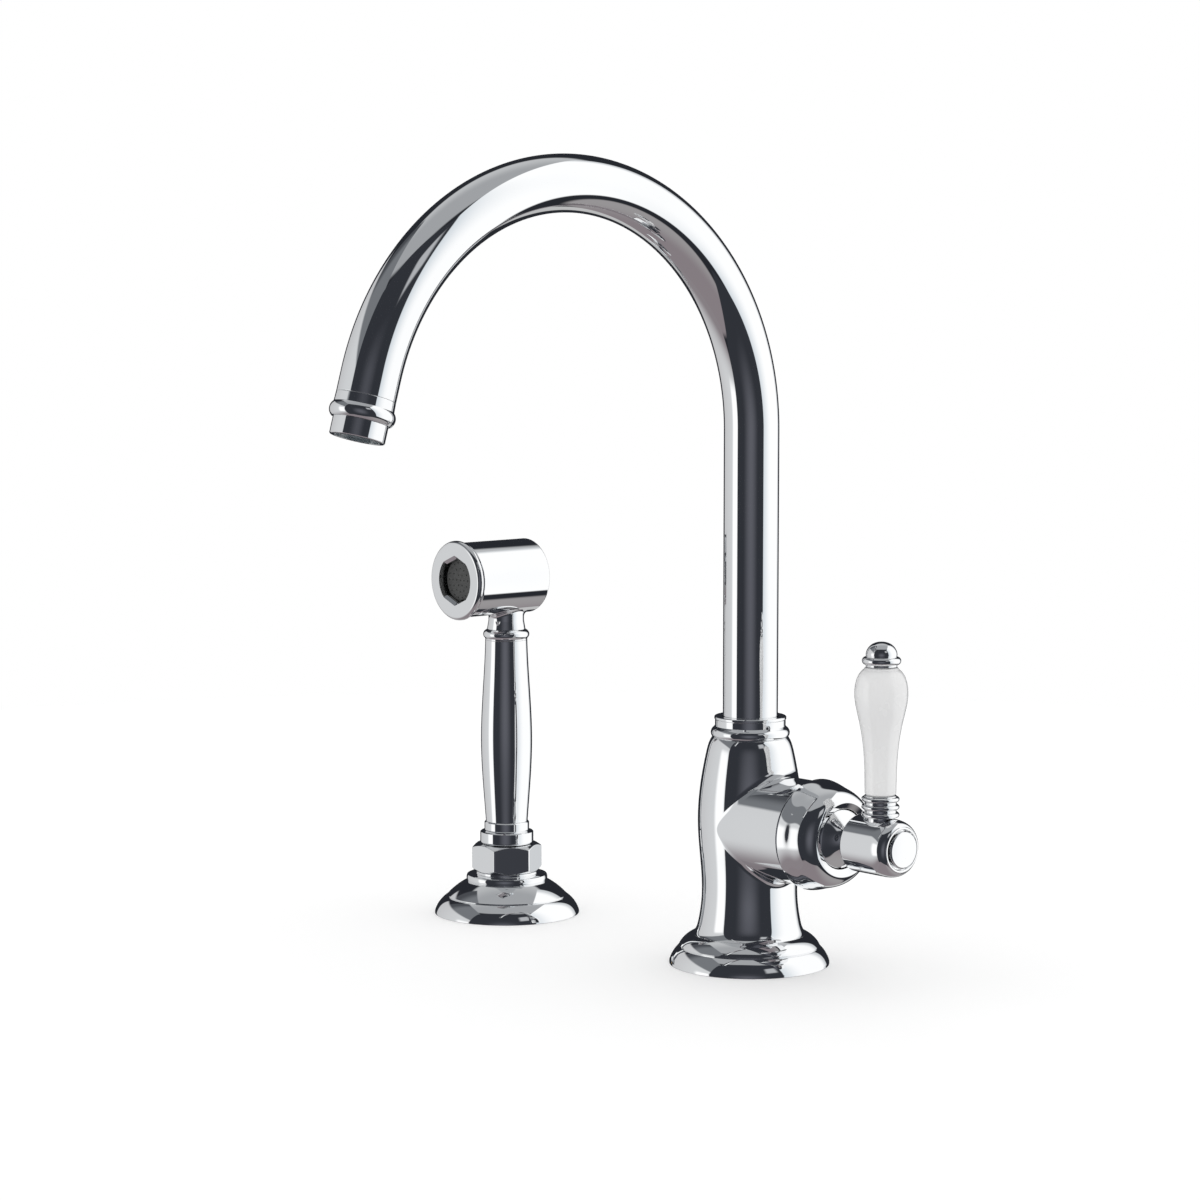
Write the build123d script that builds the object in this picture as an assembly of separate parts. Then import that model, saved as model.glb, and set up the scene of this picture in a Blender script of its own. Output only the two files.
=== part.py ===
"""Deck-mounted kitchen mixer with a swivelling gooseneck spout, a side lever and a hand spray.

Frame: millimetres, +Z up. The origin is where the body's axis meets the worktop. The spout reaches
out along -Y, the valve and its lever are on the +X side, and the hand spray stands on the -X side.
Every turned piece is drawn as a half outline of (radius, height) about its own axis.
"""
import os
from math import asin, copysign, cos, degrees, hypot, pi, radians, sin, sqrt

from build123d import *

# ---- clearances ----------------------------------------------------------------------------------
running_gap = 0.05        # radial, where one piece turns or slides in another
seat_gap = 0.02           # radial, where one piece is fixed inside another
free_gap = 0.3            # where moving surfaces pass without touching
ring_gap = 0.12           # how far an O-ring's outer edge stays inside its bore

# ---- worktop fixing ------------------------------------------------------------------------------
worktop = 30.0            # thickness that the fixing is drawn clamped to
shank_r = 16.5            # M33 threaded shank under the body
shank_wall = 3.0
shank_bore_r = shank_r - shank_wall
shank_length = 58.0       # below the worktop's upper face
socket_depth = 9.0        # thread engagement in the body
clamp_seal_t = 3.0
clamp_washer_t = 1.5
clamp_washer_r = 27.0
locknut_h = 10.0
locknut_flats = 41.0

# ---- base flange ---------------------------------------------------------------------------------
flange_r = 35.1
flange_h = 13.4
flange_rim_h = 1.2
flange_low_bulge = 0.5
flange_groove_r = flange_r - 4.0    # line between the two beads
flange_groove_z = 7.8
flange_high_bulge = 0.65
gasket_r = flange_r - 2.9
gasket_width = 5.0
gasket_t = 1.5
spigot_r = shank_r + 3.5  # the body's foot inside the flange

# ---- body ----------------------------------------------------------------------------------------
body_low_z = 1.0
foot_r = spigot_r + 5.0
ankle_r = 22.3            # the curve above the foot
ankle_z = 19.2
waist_r = 20.9
waist_z = 31.0
belly_r = 22.7
belly_z = 61.0
shoulder_r = 21.4
shoulder_z = 81.3
neck_z = 93.6
body_top_z = 100.2
spout_bore_z = 75.0
chamber_r = 9.0           # diverter chamber under the spout
chamber_z = 63.0

# ---- water ports ---------------------------------------------------------------------------------
port_r = 4.5              # M10x1 sockets for the supply tails and the spray hose
port_depth = 12.0
port_x = 4.9
port_y = 6.2
spray_port_x = -7.9
passage_r = 2.8
port_seal_r = passage_r + 1.4
port_seal_t = 0.8

# ---- spout collar --------------------------------------------------------------------------------
collar_bead = 0.97        # how far its bead bulges
collar_h = 9.2
collar_spigot = 6.0
grub_r = 1.25
grub_tip_r = 0.8
grub_bite = 0.35          # how far the tip reaches into the spout's groove
grub_angle = -14.0        # from +X, seen from above
grub_h = 5.3              # above the body's top

# ---- spout ---------------------------------------------------------------------------------------
tube_r = 12.0
tube_wall = 1.5
arc_r = 104.8
arc_z = 233.9
arc_turn = 164.0
tip_straight = 9.0
foot_gap = 0.7            # under the spout's foot
foot_h = 15.0
foot_lip = 2.0
foot_wall = 2.6           # from the tube to the body's bore
o_ring_r = 0.85
tip_bead = 1.28           # how far the ferrule's bead bulges
tip_bead_s = 15.8         # distances along the outlet are counted from the end of the arc
tip_bead_half = 2.9
tip_plug = 5.0            # the ferrule's spigot in the tube
aerator_r = tube_r - 0.85
aerator_thread_r = aerator_r - 0.75
aerator_seat = 4.4        # depth of the seat in the ferrule
aerator_gasket_t = 0.78
aerator_bore_r = aerator_r - 1.65
outlet_s = 25.8
insert_recess = 1.2
insert_t = 3.0
insert_cup = 3.0
insert_hole_r = 0.85
insert_rows = 3

# ---- diverter ------------------------------------------------------------------------------------
diverter_travel = 1.5
diverter_hole_r = 4.0
diverter_head_r = 6.5
diverter_head_t = 1.8
diverter_seal_t = 1.0
diverter_seat_t = 2.6
diverter_boss = 1.0
diverter_stem_r = 3.0
diverter_notch_r = 2.2

# ---- valve, along +X from the body's axis --------------------------------------------------------
valve_z = 62.4
cartridge_r = 17.5        # a 35 mm ceramic-disc cartridge
stub_r = cartridge_r + 5.0
stub_x = 41.5
stub_fillet = 5.0
cover_thread_r = cartridge_r + 3.1
cover_thread = 2.3
nut_r = cartridge_r + 0.9
cartridge_x = 18.0
cartridge_wall = 3.3
cartridge_floor = 2.8
cartridge_shoulder_x = 35.5
cartridge_neck_r = cartridge_r - 2.0
cartridge_top_x = 41.0
fixed_disc_t = 3.5
moving_disc_t = 2.3
pocket_r = 5.4
pocket_offset = 2.0
pocket_depth = 1.2
film = 0.03               # between the two lapped discs
carrier_t = 4.4
rotor_r = 11.15
rotor_flange_t = 3.0
rotor_top_x = 47.4
key_h = 2.2
slot_half = 4.2
slot_low = -5.6
slot_high = 9.4
pivot_x = 44.0
pin_r = 1.5
lever_tilt = 22.0         # degrees that the lever opens
ball_r = 2.4
ball_x = 30.0
arm_r = 1.6
blade = 8.0
stem_r = 3.2
cartridge_nut_x = 42.4

# ---- valve cover and bell ------------------------------------------------------------------------
cover_r = cartridge_r + 6.5
cover_band_r = cover_r - 1.6
cover_band_x = 48.5
cover_shoulder_r = cover_r - 4.0
cover_shoulder_x = 55.4
cover_face_r = cover_r - 8.4
cover_face_x = 58.5
bell_rim_r = 12.3
bell_rim_x = 57.2
bell_neck_r = 4.6
bell_neck_x = 64.8
bell_cone_r = 7.6         # where the cone runs out into the neck
bell_cone_x = 60.35
bell_wall = 1.2
bell_hub_r = 5.4
bell_hub = 3.2
bell_skirt_angle = 69.0   # how far round the pivot the skirt reaches

# ---- lever ---------------------------------------------------------------------------------------
barrel_r = 12.3
barrel_x = 67.2
stem_socket = 7.0
barrel_screw_r = 2.0
barrel_screw = 4.0        # from the barrel's inner end
barrel_round_x = 85.0
barrel_lip_r = 9.8
barrel_lip_x = 92.6
cap_r = 7.8
cap_x = 94.2
cap_crown = 0.5
cap_spigot = 3.2
cap_groove = 0.8
lever_x = 79.5
lever_seat = 10.2         # above the valve axis
ferrule_neck_r = 6.0
ferrule_bead_r = 8.0
ferrule_groove_r = 6.8
ferrule_first_bead = 13.5
ferrule_pitch = 3.3
ferrule_bead_half = 1.05
ferrule_beads = 3
ferrule_h = 21.6          # top, above the valve axis
handle_length = 53.6
handle_foot_r = 6.6
handle_waist_r = 6.95
handle_swell_r = 9.15
handle_max_r = 11.1
handle_top_r = 6.9
washer_t = 0.4
washer_r = 6.0
tie_r = 2.3
tie_depth = 6.9           # below the valve axis
tie_reach = 5.0           # into the finial
finial_ring_r = 8.2
finial_neck_r = 6.6
finial_neck_h = 0.9
finial_ring_h = 3.1
finial_dome_r = 6.6
finial_h = 10.4

# ---- hand spray: holder --------------------------------------------------------------------------
spray_x = -158.5
spray_y = -7.5
holder_r = 34.0
holder_low_bulge = 0.8
holder_gasket_r = holder_r - 2.9
holder_groove_r = holder_r - 5.6
holder_groove_z = 8.2
holder_high_bulge = 0.45
holder_cone_r = 19.6
holder_cone_z = 15.2
holder_ring_r = 18.7
holder_ring_z = 18.5
holder_tube_r = 12.5
holder_bore_r = holder_tube_r - 1.9
holder_neck_r = holder_tube_r + 2.1
holder_length = 52.0      # below the worktop's upper face
bush_r = holder_bore_r - 1.3
bush_low_z = -2.0
hex_z = 20.0
hex_top_z = 33.0
hex_flats = 2.0 * (holder_tube_r + 1.9)
hex_lip = 1.6             # over the tube's end
hex_turn = 29.5           # degrees, how the nut came to rest when tightened
holder_washer_r = 23.0
holder_nut_flats = 34.0

# ---- hand spray: swivel and grip -----------------------------------------------------------------
connector_low_z = -6.0
connector_neck_r = 6.5
connector_bore_r = 4.0
hose_socket_r = 5.5
hose_socket_depth = 14.0
rest_gap = 0.1
swivel_thread_r = connector_neck_r - 1.2
swivel_ring_up = 3.5      # above the foot of the grip
collar_low_r = 12.5
collar_low_top = 39.0
collar_up_r = 10.5
collar_up_top = 43.6
swivel_nut_r = 7.5
swivel_nut_z = 42.0
swivel_nut_t = 2.4
grip_foot_r = 9.8
grip_belly_r = 12.0
grip_belly_z = 82.0
grip_top_r = 9.85
grip_top_z = 129.5
grip_bore_r = 7.9
waterway_r = 4.6
waterway_bore_r = 3.3
neck_bore_r = 5.2
neck_spigot = 4.0
neck_bead = 0.9           # how far its bead bulges
neck_bead_r = 9.9         # at the bead's two edges
neck_bead_half = 1.8
neck_bead_z = 132.1
neck_base_z = 134.5
neck_base_r = 9.0
neck_top_r = 8.3

# ---- hand spray: head, along -Y from the grip's axis ---------------------------------------------
head_z = 159.0
head_r = 17.3
head_back = -12.6
head_front = 27.6
head_edge = 1.2
head_wall = 2.8
head_fillet = 2.5
face_r = head_r + 1.1
face_s = 30.8
face_edge = 1.9
face_groove_r = head_r - 0.7
face_rim_s = 28.2
face_thread_s = 19.0
face_hole_r = head_r - 5.8
face_tab_r = face_hole_r - 1.3
face_tab_slope = 1.3
face_tab_t = 2.6
disc_r = face_hole_r - 1.4
disc_s = 27.4
disc_flange_r = face_hole_r + 0.9
disc_flange_t = 2.0
disc_step = 2.8           # from the disc's face to its flange
nozzle_r = 0.35
nozzle_rows = 3
plate_t = 2.4
plate_hole_r = 0.9
valve_seat_s = 9.0
valve_seat_t = 4.0
valve_hole_r = 3.2
valve_stem_r = 1.6
valve_washer_r = 5.2
valve_washer_t = 1.6
valve_collar_r = 3.4
valve_collar_t = 1.2
spring_r = 5.4
spring_bore_r = 4.2
button_r = 8.0
button_out = 3.0          # how far the button stands out of the head
button_length = 10.0
button_ring = 3.0         # O-ring, from the button's inner end
button_socket = 5.0
button_boss_r = 10.6


# ---- drawing helpers -----------------------------------------------------------------------------
def to(r, z):
    """A straight run to (r, z)."""
    return lambda here: (Line(here, (r, z)), (r, z))


def arc(middle, end):
    """A round run through middle to end."""
    return lambda here: (ThreePointArc(here, middle, end), end)


def bulge(out, end):
    """A round run to end that stands out by that much to the right of the straight line there."""
    def step(here):
        across = end[0] - here[0]
        along = end[1] - here[1]
        run = hypot(across, along)
        middle = ((here[0] + end[0]) / 2 + out * along / run, (here[1] + end[1]) / 2 - out * across / run)
        return ThreePointArc(here, middle, end), end
    return step


def curve(*points, leaving, arriving):
    """A smooth run through points, leaving and arriving in the given directions."""
    return lambda here: (Spline(here, *points, tangents=(leaving, arriving)), points[-1])


def turned(start, *steps):
    """Turn a closed half outline about Z."""
    edges = []
    here = start
    for step in steps:
        edge, here = step(here)
        edges.append(edge)
    edges.append(Line(here, start))
    outline = make_face([Plane.XZ * edge for edge in edges])
    return revolve(outline, Axis.Z)


def crown_middle(r, edge, top):
    """The point halfway along a round crown that goes from (r, edge) to (0, top)."""
    rise = top - edge
    crown_r = (r ** 2 + rise ** 2) / (2 * rise)
    return (r / 2, top - crown_r + copysign(sqrt(crown_r ** 2 - (r / 2) ** 2), rise))


def rod(r, low, high):
    """A solid cylinder on Z between two heights."""
    return Pos(0, 0, low) * Cylinder(r, high - low, align=(Align.CENTER, Align.CENTER, Align.MIN))


def ring(outer, inner, low, high):
    """A plain ring on Z between two heights."""
    return rod(outer, low, high) - rod(inner, low, high)


def o_ring(outer, z):
    """An O-ring on Z whose outer edge is at the given radius."""
    return Pos(0, 0, z) * Torus(outer - o_ring_r, o_ring_r)


def o_ring_groove(r, z):
    """The groove for that O-ring in a sleeve of radius r."""
    half = o_ring_r + ring_gap
    return ring(r + 1, r - 2 * half, z - half, z + half)


def hexagon(flats, low, high, chamfer):
    """A hexagon on Z with its corners turned down at both ends."""
    corner_r = flats / sqrt(3)
    block = Pos(0, 0, low) * extrude(RegularPolygon(corner_r, 6), high - low)
    drop = chamfer * (corner_r - flats / 2)
    bevel = turned((0, low), to(flats / 2 * 0.98, low), to(corner_r + 0.1, low + drop),
                   to(corner_r + 0.1, high - drop), to(flats / 2 * 0.98, high), to(0, high))
    return block & bevel


def on_circle(r, count, first=0.0):
    """Places evenly spaced round Z."""
    return [Pos(r * cos(radians(first + i * 360 / count)), r * sin(radians(first + i * 360 / count)))
            for i in range(count)]


def in_rings(r, rows):
    """One place at the middle and evenly filled rings round it, the last of radius r."""
    places = [Pos(0, 0)]
    for row in range(1, rows + 1):
        places += on_circle(row * r / rows, row * 6)
    return places


valve = Plane(origin=(0, 0, valve_z), x_dir=(0, 1, 0), z_dir=(1, 0, 0)).location
lever_axis = Location((lever_x, 0, valve_z))
barrel_screw_axis = Location((barrel_x + barrel_screw, 0, valve_z))
spray = Location((spray_x, spray_y, 0))
head = Plane(origin=(spray_x, spray_y, head_z), x_dir=(1, 0, 0), z_dir=(0, -1, 0)).location
grub_axis = Location((0, 0, body_top_z + grub_h), (0, 0, grub_angle)) * Rot(0, 90, 0)
arc_end = radians(arc_turn)
outlet = Plane(
    origin=(0, -arc_r + arc_r * cos(arc_end), arc_z + arc_r * sin(arc_end)),
    x_dir=(1, 0, 0),
    z_dir=(0, -sin(arc_end), cos(arc_end)),
).location

# ---- sizes that follow ---------------------------------------------------------------------------
clamp_z = -worktop
tube_bore_r = tube_r - tube_wall
spout_bore_r = tube_r + foot_wall
body_top_r = spout_bore_r + 2.0
neck_r = body_top_r + 2.5
collar_cove_r = spout_bore_r + 0.8
collar_rim_r = spout_bore_r + 1.1
tip_plug_r = tube_bore_r - seat_gap
tip_low_s = tip_bead_s - tip_bead_half
tip_high_s = tip_bead_s + tip_bead_half
aerator_seat_s = tip_high_s - aerator_seat
diverter_seal_z = spout_bore_z - diverter_boss - diverter_travel
foot_z = spout_bore_z + diverter_seat_t + foot_gap
collar_top_z = body_top_z + collar_h
grub_z = body_top_z + grub_h
cavity_r = cartridge_r - cartridge_wall
rotor_flange_r = cavity_r - 0.4
fixed_disc_x = cartridge_x + cartridge_floor
moving_disc_x = fixed_disc_x + fixed_disc_t + film
carrier_x = moving_disc_x + moving_disc_t
carrier_top_x = carrier_x + carrier_t
rotor_x = carrier_top_x + free_gap
rotor_shoulder_x = rotor_x + rotor_flange_t
disc_travel = (pivot_x - ball_x) * radians(lever_tilt)
disc_offset = -disc_travel / 2
moving_disc_r = cavity_r - disc_travel / 2 - 0.5
carrier_r = moving_disc_r - 0.4
skirt_r = hypot(bell_rim_x - pivot_x, bell_rim_r)
cover_sphere_r = skirt_r + 1.5 * free_gap
opening_r = sqrt(cover_sphere_r ** 2 - (bell_rim_x - pivot_x) ** 2)
cover_seat_x = stub_x + cover_thread
ferrule_top_z = valve_z + ferrule_h
handle_z = ferrule_top_z + washer_t
handle_top_z = handle_z + handle_length
finial_z = handle_top_z + washer_t
finial_top_z = finial_z + finial_h
neck_flare_z = head_z - head_r - 2.7
cap_seat_x = cap_x - 6.0
inlet_z = valve_z - 5.0
mixed_z = valve_z + 6.4


# ---- worktop fixing ------------------------------------------------------------------------------
def gasket_groove(r):
    """The recess for a deck gasket of outer radius r."""
    return ring(r, r - gasket_width, 0, gasket_t)


def deck_gasket(r):
    """Rubber ring that fills the recess, flush with the flange's foot."""
    return ring(r - seat_gap, r - gasket_width + seat_gap, 0, gasket_t - seat_gap)


def clamp_stack(tube, washer_r, flats):
    """Rubber seal, steel washer and hexagon locknut on a threaded tube below the worktop."""
    bore = tube + seat_gap
    washer_z = clamp_z - clamp_seal_t
    nut_z = washer_z - clamp_washer_t
    seal = ring(washer_r - 1.0, bore, washer_z, clamp_z)
    washer = ring(washer_r, bore, nut_z, washer_z)
    nut = hexagon(flats, nut_z - locknut_h, nut_z, 0.6) - rod(bore, nut_z - locknut_h, nut_z)
    return seal, washer, nut


def base_flange():
    inner = spigot_r + seat_gap
    profile = turned(
        (inner, 0), to(flange_r, 0), to(flange_r, flange_rim_h),
        bulge(flange_low_bulge, (flange_groove_r, flange_groove_z - 0.3)),
        to(flange_groove_r - 0.7, flange_groove_z), to(flange_groove_r - 0.3, flange_groove_z + 0.5),
        bulge(flange_high_bulge, (foot_r, flange_h)), to(inner, flange_h),
    )
    return profile - gasket_groove(gasket_r)


def mounting_shank():
    return ring(shank_r, shank_bore_r, -shank_length, body_low_z + socket_depth)


# ---- body ----------------------------------------------------------------------------------------
def faucet_body():
    """Cast and turned brass body: waterways, diverter chamber, valve seat and spout bearing."""
    shell = turned(
        (0, body_low_z), to(spigot_r, body_low_z), to(spigot_r, flange_h), to(foot_r, flange_h),
        curve((ankle_r, ankle_z), (waist_r, waist_z), (belly_r, belly_z), (shoulder_r, shoulder_z),
              (neck_r, neck_z), (body_top_r, body_top_z), leaving=(-1.1, 0.8), arriving=(-0.75, 1)),
        to(0, body_top_z),
    )
    stub = valve * rod(stub_r, 0, stub_x)
    body = shell + stub
    saddle = [edge for edge in body.edges()
              if edge.geom_type not in (GeomType.CIRCLE, GeomType.LINE) and edge.center().X > 5
              and edge.length > 20]
    body = fillet(saddle, stub_fillet)
    body += valve * rod(cover_thread_r, stub_x - 1, cover_seat_x)

    socket_top = body_low_z + socket_depth
    body -= rod(shank_r + seat_gap, body_low_z, socket_top)
    body -= rod(spout_bore_r, spout_bore_z, body_top_z)
    body -= rod(chamber_r, chamber_z, spout_bore_z)
    body -= valve * rod(cartridge_r + seat_gap, cartridge_x, cartridge_shoulder_x)
    body -= valve * rod(nut_r, cartridge_shoulder_x, cover_seat_x)
    for side in (-1, 1):
        body -= Pos(port_x, side * port_y) * rod(port_r, socket_top, socket_top + port_depth)
        body -= Pos(port_x, side * port_y) * rod(passage_r, socket_top, inlet_z)
        body -= valve * Pos(side * port_y, inlet_z - valve_z) * rod(passage_r, port_x, cartridge_x)
    body -= Pos(spray_port_x, 0) * rod(port_r, socket_top, socket_top + port_depth)
    body -= Pos(spray_port_x, 0) * rod(passage_r, socket_top, chamber_z)
    return body - valve * Pos(0, mixed_z - valve_z) * rod(passage_r, 0, cartridge_x)


def spout_collar():
    """Turned ring screwed into the body's top, round the foot of the spout."""
    bore = tube_r + free_gap
    top = collar_top_z
    collar = turned(
        (bore, body_top_z - collar_spigot), to(spout_bore_r - seat_gap, body_top_z - collar_spigot),
        to(spout_bore_r - seat_gap, body_top_z), to(body_top_r - 0.2, body_top_z),
        bulge(collar_bead, (body_top_r - 0.5, body_top_z + 4.2)),
        to(collar_cove_r, body_top_z + 4.9), to(collar_cove_r, top - 1.5),
        to(collar_rim_r, top - 1.2), to(collar_rim_r, top - 0.3), to(collar_rim_r - 0.3, top),
        to(bore, top),
    )
    return collar - grub_axis * rod(grub_r + seat_gap, 0, 2 * tube_r)


def collar_grub_screw():
    """Dog-point grub screw whose tip runs in the spout's groove and keeps the spout down."""
    end = collar_cove_r - 0.4
    screw = rod(grub_r, tube_r + free_gap, end) + rod(grub_tip_r, tube_r - grub_bite, tube_r + 1)
    screw -= Pos(0, 0, end - grub_r) * extrude(RegularPolygon(0.58 * grub_r, 6), grub_r)
    return grub_axis * screw


# ---- spout ---------------------------------------------------------------------------------------
def spout_tube():
    """Bent brass tube: upright, round the arch, and a short straight end."""
    low = foot_z + foot_lip
    upright = ring(tube_r, tube_bore_r, low, arc_z)
    section = Pos(0, 0, arc_z) * (Circle(tube_r) - Circle(tube_bore_r))
    arch = revolve(section, Axis((0, -arc_r, arc_z), (1, 0, 0)), arc_turn)
    end = outlet * ring(tube_r, tube_bore_r, 0, tip_straight)
    tip_half = grub_tip_r + free_gap
    groove = ring(tube_r + 1, tube_r - grub_bite - free_gap, grub_z - tip_half, grub_z + tip_half)
    return upright + arch + end - groove


def spout_foot():
    """Bearing sleeve brazed to the spout, with two O-ring grooves."""
    outer = spout_bore_r - running_gap
    sleeve = ring(outer, tube_r + seat_gap, foot_z, foot_z + foot_h)
    sleeve += ring(outer, tube_bore_r, foot_z, foot_z + foot_lip)
    for z in spout_ring_heights():
        sleeve -= o_ring_groove(outer, z)
    return sleeve


def spout_ring_heights():
    return [foot_z + 4.0, foot_z + foot_h - 4.0]


def spout_o_rings():
    return Compound([o_ring(spout_bore_r - ring_gap, z) for z in spout_ring_heights()])


def tip_ferrule():
    """Turned ring at the spout's end, with a bead outside and the aerator's thread inside."""
    low = tip_straight - tip_plug
    bore = tip_plug_r - 1.5
    return outlet * turned(
        (bore, low), to(tip_plug_r, low), to(tip_plug_r, tip_straight),
        to(tube_r, tip_straight), to(tube_r + 0.15, tip_low_s),
        bulge(tip_bead, (tube_r - 0.1, tip_high_s)), to(aerator_thread_r, tip_high_s),
        to(aerator_thread_r, aerator_seat_s), to(bore, aerator_seat_s),
    )


def aerator_housing():
    low = aerator_seat_s + aerator_gasket_t + seat_gap
    thread = aerator_thread_r - seat_gap
    return outlet * turned(
        (aerator_bore_r, low), to(thread, low), to(thread, tip_high_s),
        to(aerator_r, tip_high_s + seat_gap), to(aerator_r, outlet_s - 0.3), to(aerator_r - 0.3, outlet_s),
        to(aerator_bore_r, outlet_s),
    )


def aerator_gasket():
    low = aerator_seat_s + seat_gap
    return outlet * ring(aerator_thread_r - 0.3, aerator_bore_r - 1.4, low, low + aerator_gasket_t)


def aerator_insert():
    """Perforated insert that breaks the water into fine jets."""
    high = outlet_s - insert_recess
    low = high - insert_t
    outer = aerator_bore_r - seat_gap
    plate = rod(outer, low, high)
    hole = rod(insert_hole_r, low, high)
    plate -= [place * hole for place in in_rings(outer - 1.8, insert_rows)]
    return outlet * (plate + ring(outer, outer - 1.0, low - insert_cup, low))


# ---- diverter ------------------------------------------------------------------------------------
def diverter_seat():
    """Brass disc on the chamber's mouth; the plunger's seal closes its hole from below."""
    disc = rod(spout_bore_r - seat_gap, spout_bore_z, spout_bore_z + diverter_seat_t)
    boss = rod(chamber_r - seat_gap, spout_bore_z - diverter_boss, spout_bore_z)
    return disc + boss - rod(diverter_hole_r, spout_bore_z - diverter_boss, spout_bore_z + diverter_seat_t)


def diverter_plunger():
    """Plunger that lifts when the spray opens and shuts off the spout."""
    head_top = diverter_seal_z - diverter_seal_t
    guide_top = spout_bore_z + diverter_seat_t - 1.0
    plunger = rod(diverter_stem_r, chamber_z + running_gap, head_top - diverter_head_t)
    plunger += rod(diverter_head_r, head_top - diverter_head_t, head_top)
    guide = rod(diverter_hole_r - running_gap, head_top, guide_top)
    for place in on_circle(diverter_hole_r, 3):
        guide -= place * rod(diverter_notch_r, diverter_seal_z, guide_top)
    return plunger + guide


def diverter_seal():
    return ring(diverter_head_r, diverter_hole_r, diverter_seal_z - diverter_seal_t, diverter_seal_z)


# ---- cartridge -----------------------------------------------------------------------------------
port_places = [(-port_y, inlet_z - valve_z), (port_y, inlet_z - valve_z), (0, mixed_z - valve_z)]


def cartridge_housing():
    """Moulded housing: ported floor, cavity for the discs, and a neck that guides the rotor."""
    cavity_top = rotor_shoulder_x + free_gap
    housing = rod(cartridge_r, cartridge_x + seat_gap, cartridge_shoulder_x)
    housing += rod(cartridge_neck_r, cartridge_shoulder_x, cartridge_top_x)
    housing -= rod(cavity_r, fixed_disc_x, cavity_top)
    housing -= rod(rotor_r + running_gap, cavity_top, cartridge_top_x)
    for x, y in port_places:
        housing -= Pos(x, y) * rod(passage_r, cartridge_x, fixed_disc_x)
        housing -= Pos(x, y) * rod(port_seal_r, cartridge_x, cartridge_x + port_seal_t)
    return valve * housing


def cartridge_seals():
    """Three rubber rings that seal the ports against the body."""
    return Compound([
        valve * Pos(x, y) * ring(port_seal_r - seat_gap, passage_r, cartridge_x + seat_gap,
                                 cartridge_x + port_seal_t - seat_gap)
        for x, y in port_places
    ])


def fixed_disc():
    disc = rod(cavity_r - seat_gap, fixed_disc_x, fixed_disc_x + fixed_disc_t)
    for x, y in port_places:
        disc -= Pos(x, y) * rod(passage_r, fixed_disc_x, fixed_disc_x + fixed_disc_t)
    return valve * disc


def moving_disc():
    """Ceramic disc with a pocket that joins the inlet ports to the outlet as it slides and turns."""
    disc = rod(moving_disc_r, moving_disc_x, carrier_x)
    pocket = Pos(0, pocket_offset) * rod(pocket_r, moving_disc_x, moving_disc_x + pocket_depth)
    return valve * Pos(0, disc_offset) * (disc - pocket)


def disc_carrier():
    """Carrier on the moving disc: a socket for the stem's ball and a key in the rotor's slot."""
    body = Pos(0, disc_offset) * rod(carrier_r, carrier_x + seat_gap, carrier_top_x)
    body -= rod(ball_r + free_gap, ball_x - ball_r - free_gap, carrier_top_x)
    high = -ball_r - 1.4
    low = slot_low + 0.2
    key = Pos(0, (high + low) / 2, carrier_top_x) * Box(2 * slot_half - 0.4, high - low, 2 * key_h)
    return valve * (body + key)


def cartridge_rotor():
    """Rotor that turns the discs with the lever and holds the lever's pivot pin."""
    rotor = rod(rotor_flange_r, rotor_x, rotor_shoulder_x) + rod(rotor_r, rotor_shoulder_x, rotor_top_x)
    slot_middle = (slot_low + slot_high) / 2
    length = rotor_top_x - rotor_x
    slot = Pos(0, slot_middle, rotor_x + length / 2) * Box(2 * slot_half, slot_high - slot_low,
                                                          length + 1)
    pin_hole = Pos(0, 0, pivot_x) * Rot(0, 90, 0) * Cylinder(pin_r + seat_gap, 3 * rotor_r)
    return valve * (rotor - slot - pin_hole)


def pivot_pin():
    return valve * Pos(0, 0, pivot_x) * Rot(0, 90, 0) * Cylinder(pin_r, 2 * rotor_r - 2)


def cartridge_nut():
    """Brass ring nut that holds the cartridge down, with four spanner slots."""
    outer = nut_r - seat_gap
    nut = ring(outer, cartridge_neck_r + 0.1, cartridge_shoulder_x, cartridge_nut_x)
    for turn in range(4):
        nut -= Rot(0, 0, 90 * turn) * Pos(outer - 1, 0, cartridge_nut_x) * Box(4, 3, 4)
    return valve * nut


def valve_cover():
    """Domed cover; its hollow is a sphere about the lever's pivot, so the bell can swing under it."""
    middle = radians((degrees(asin(opening_r / cover_sphere_r)) + 90) / 2)
    sphere_foot = sqrt(cover_sphere_r ** 2 - (cover_seat_x - pivot_x) ** 2)
    return valve * turned(
        (cover_thread_r + seat_gap, stub_x), to(cover_r - 0.7, stub_x),
        bulge(0.21, (cover_r, stub_x + 0.9)),
        curve((cover_band_r, cover_band_x), (cover_shoulder_r, cover_shoulder_x),
              (cover_face_r, cover_face_x), leaving=(-0.1, 1), arriving=(-1, 0.15)),
        to(opening_r, bell_rim_x),
        arc((cover_sphere_r * sin(middle), pivot_x + cover_sphere_r * cos(middle)),
            (sphere_foot, cover_seat_x)),
        to(cover_thread_r + seat_gap, cover_seat_x),
    )


# ---- lever ---------------------------------------------------------------------------------------
def lever_stem():
    """Steel stem: a ball in the disc carrier, a blade on the pivot pin, and a round outer end."""
    stem = Pos(0, 0, ball_x) * Sphere(ball_r)
    stem += rod(arm_r, ball_x, pivot_x - blade)
    stem += Pos(0, 0, pivot_x - blade / 4) * Box(blade, blade, 1.5 * blade)
    stem += rod(stem_r, pivot_x, barrel_x + stem_socket)
    pin_hole = Pos(0, 0, pivot_x) * Rot(0, 90, 0) * Cylinder(pin_r + running_gap, 2 * blade)
    return valve * (stem - pin_hole)


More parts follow.
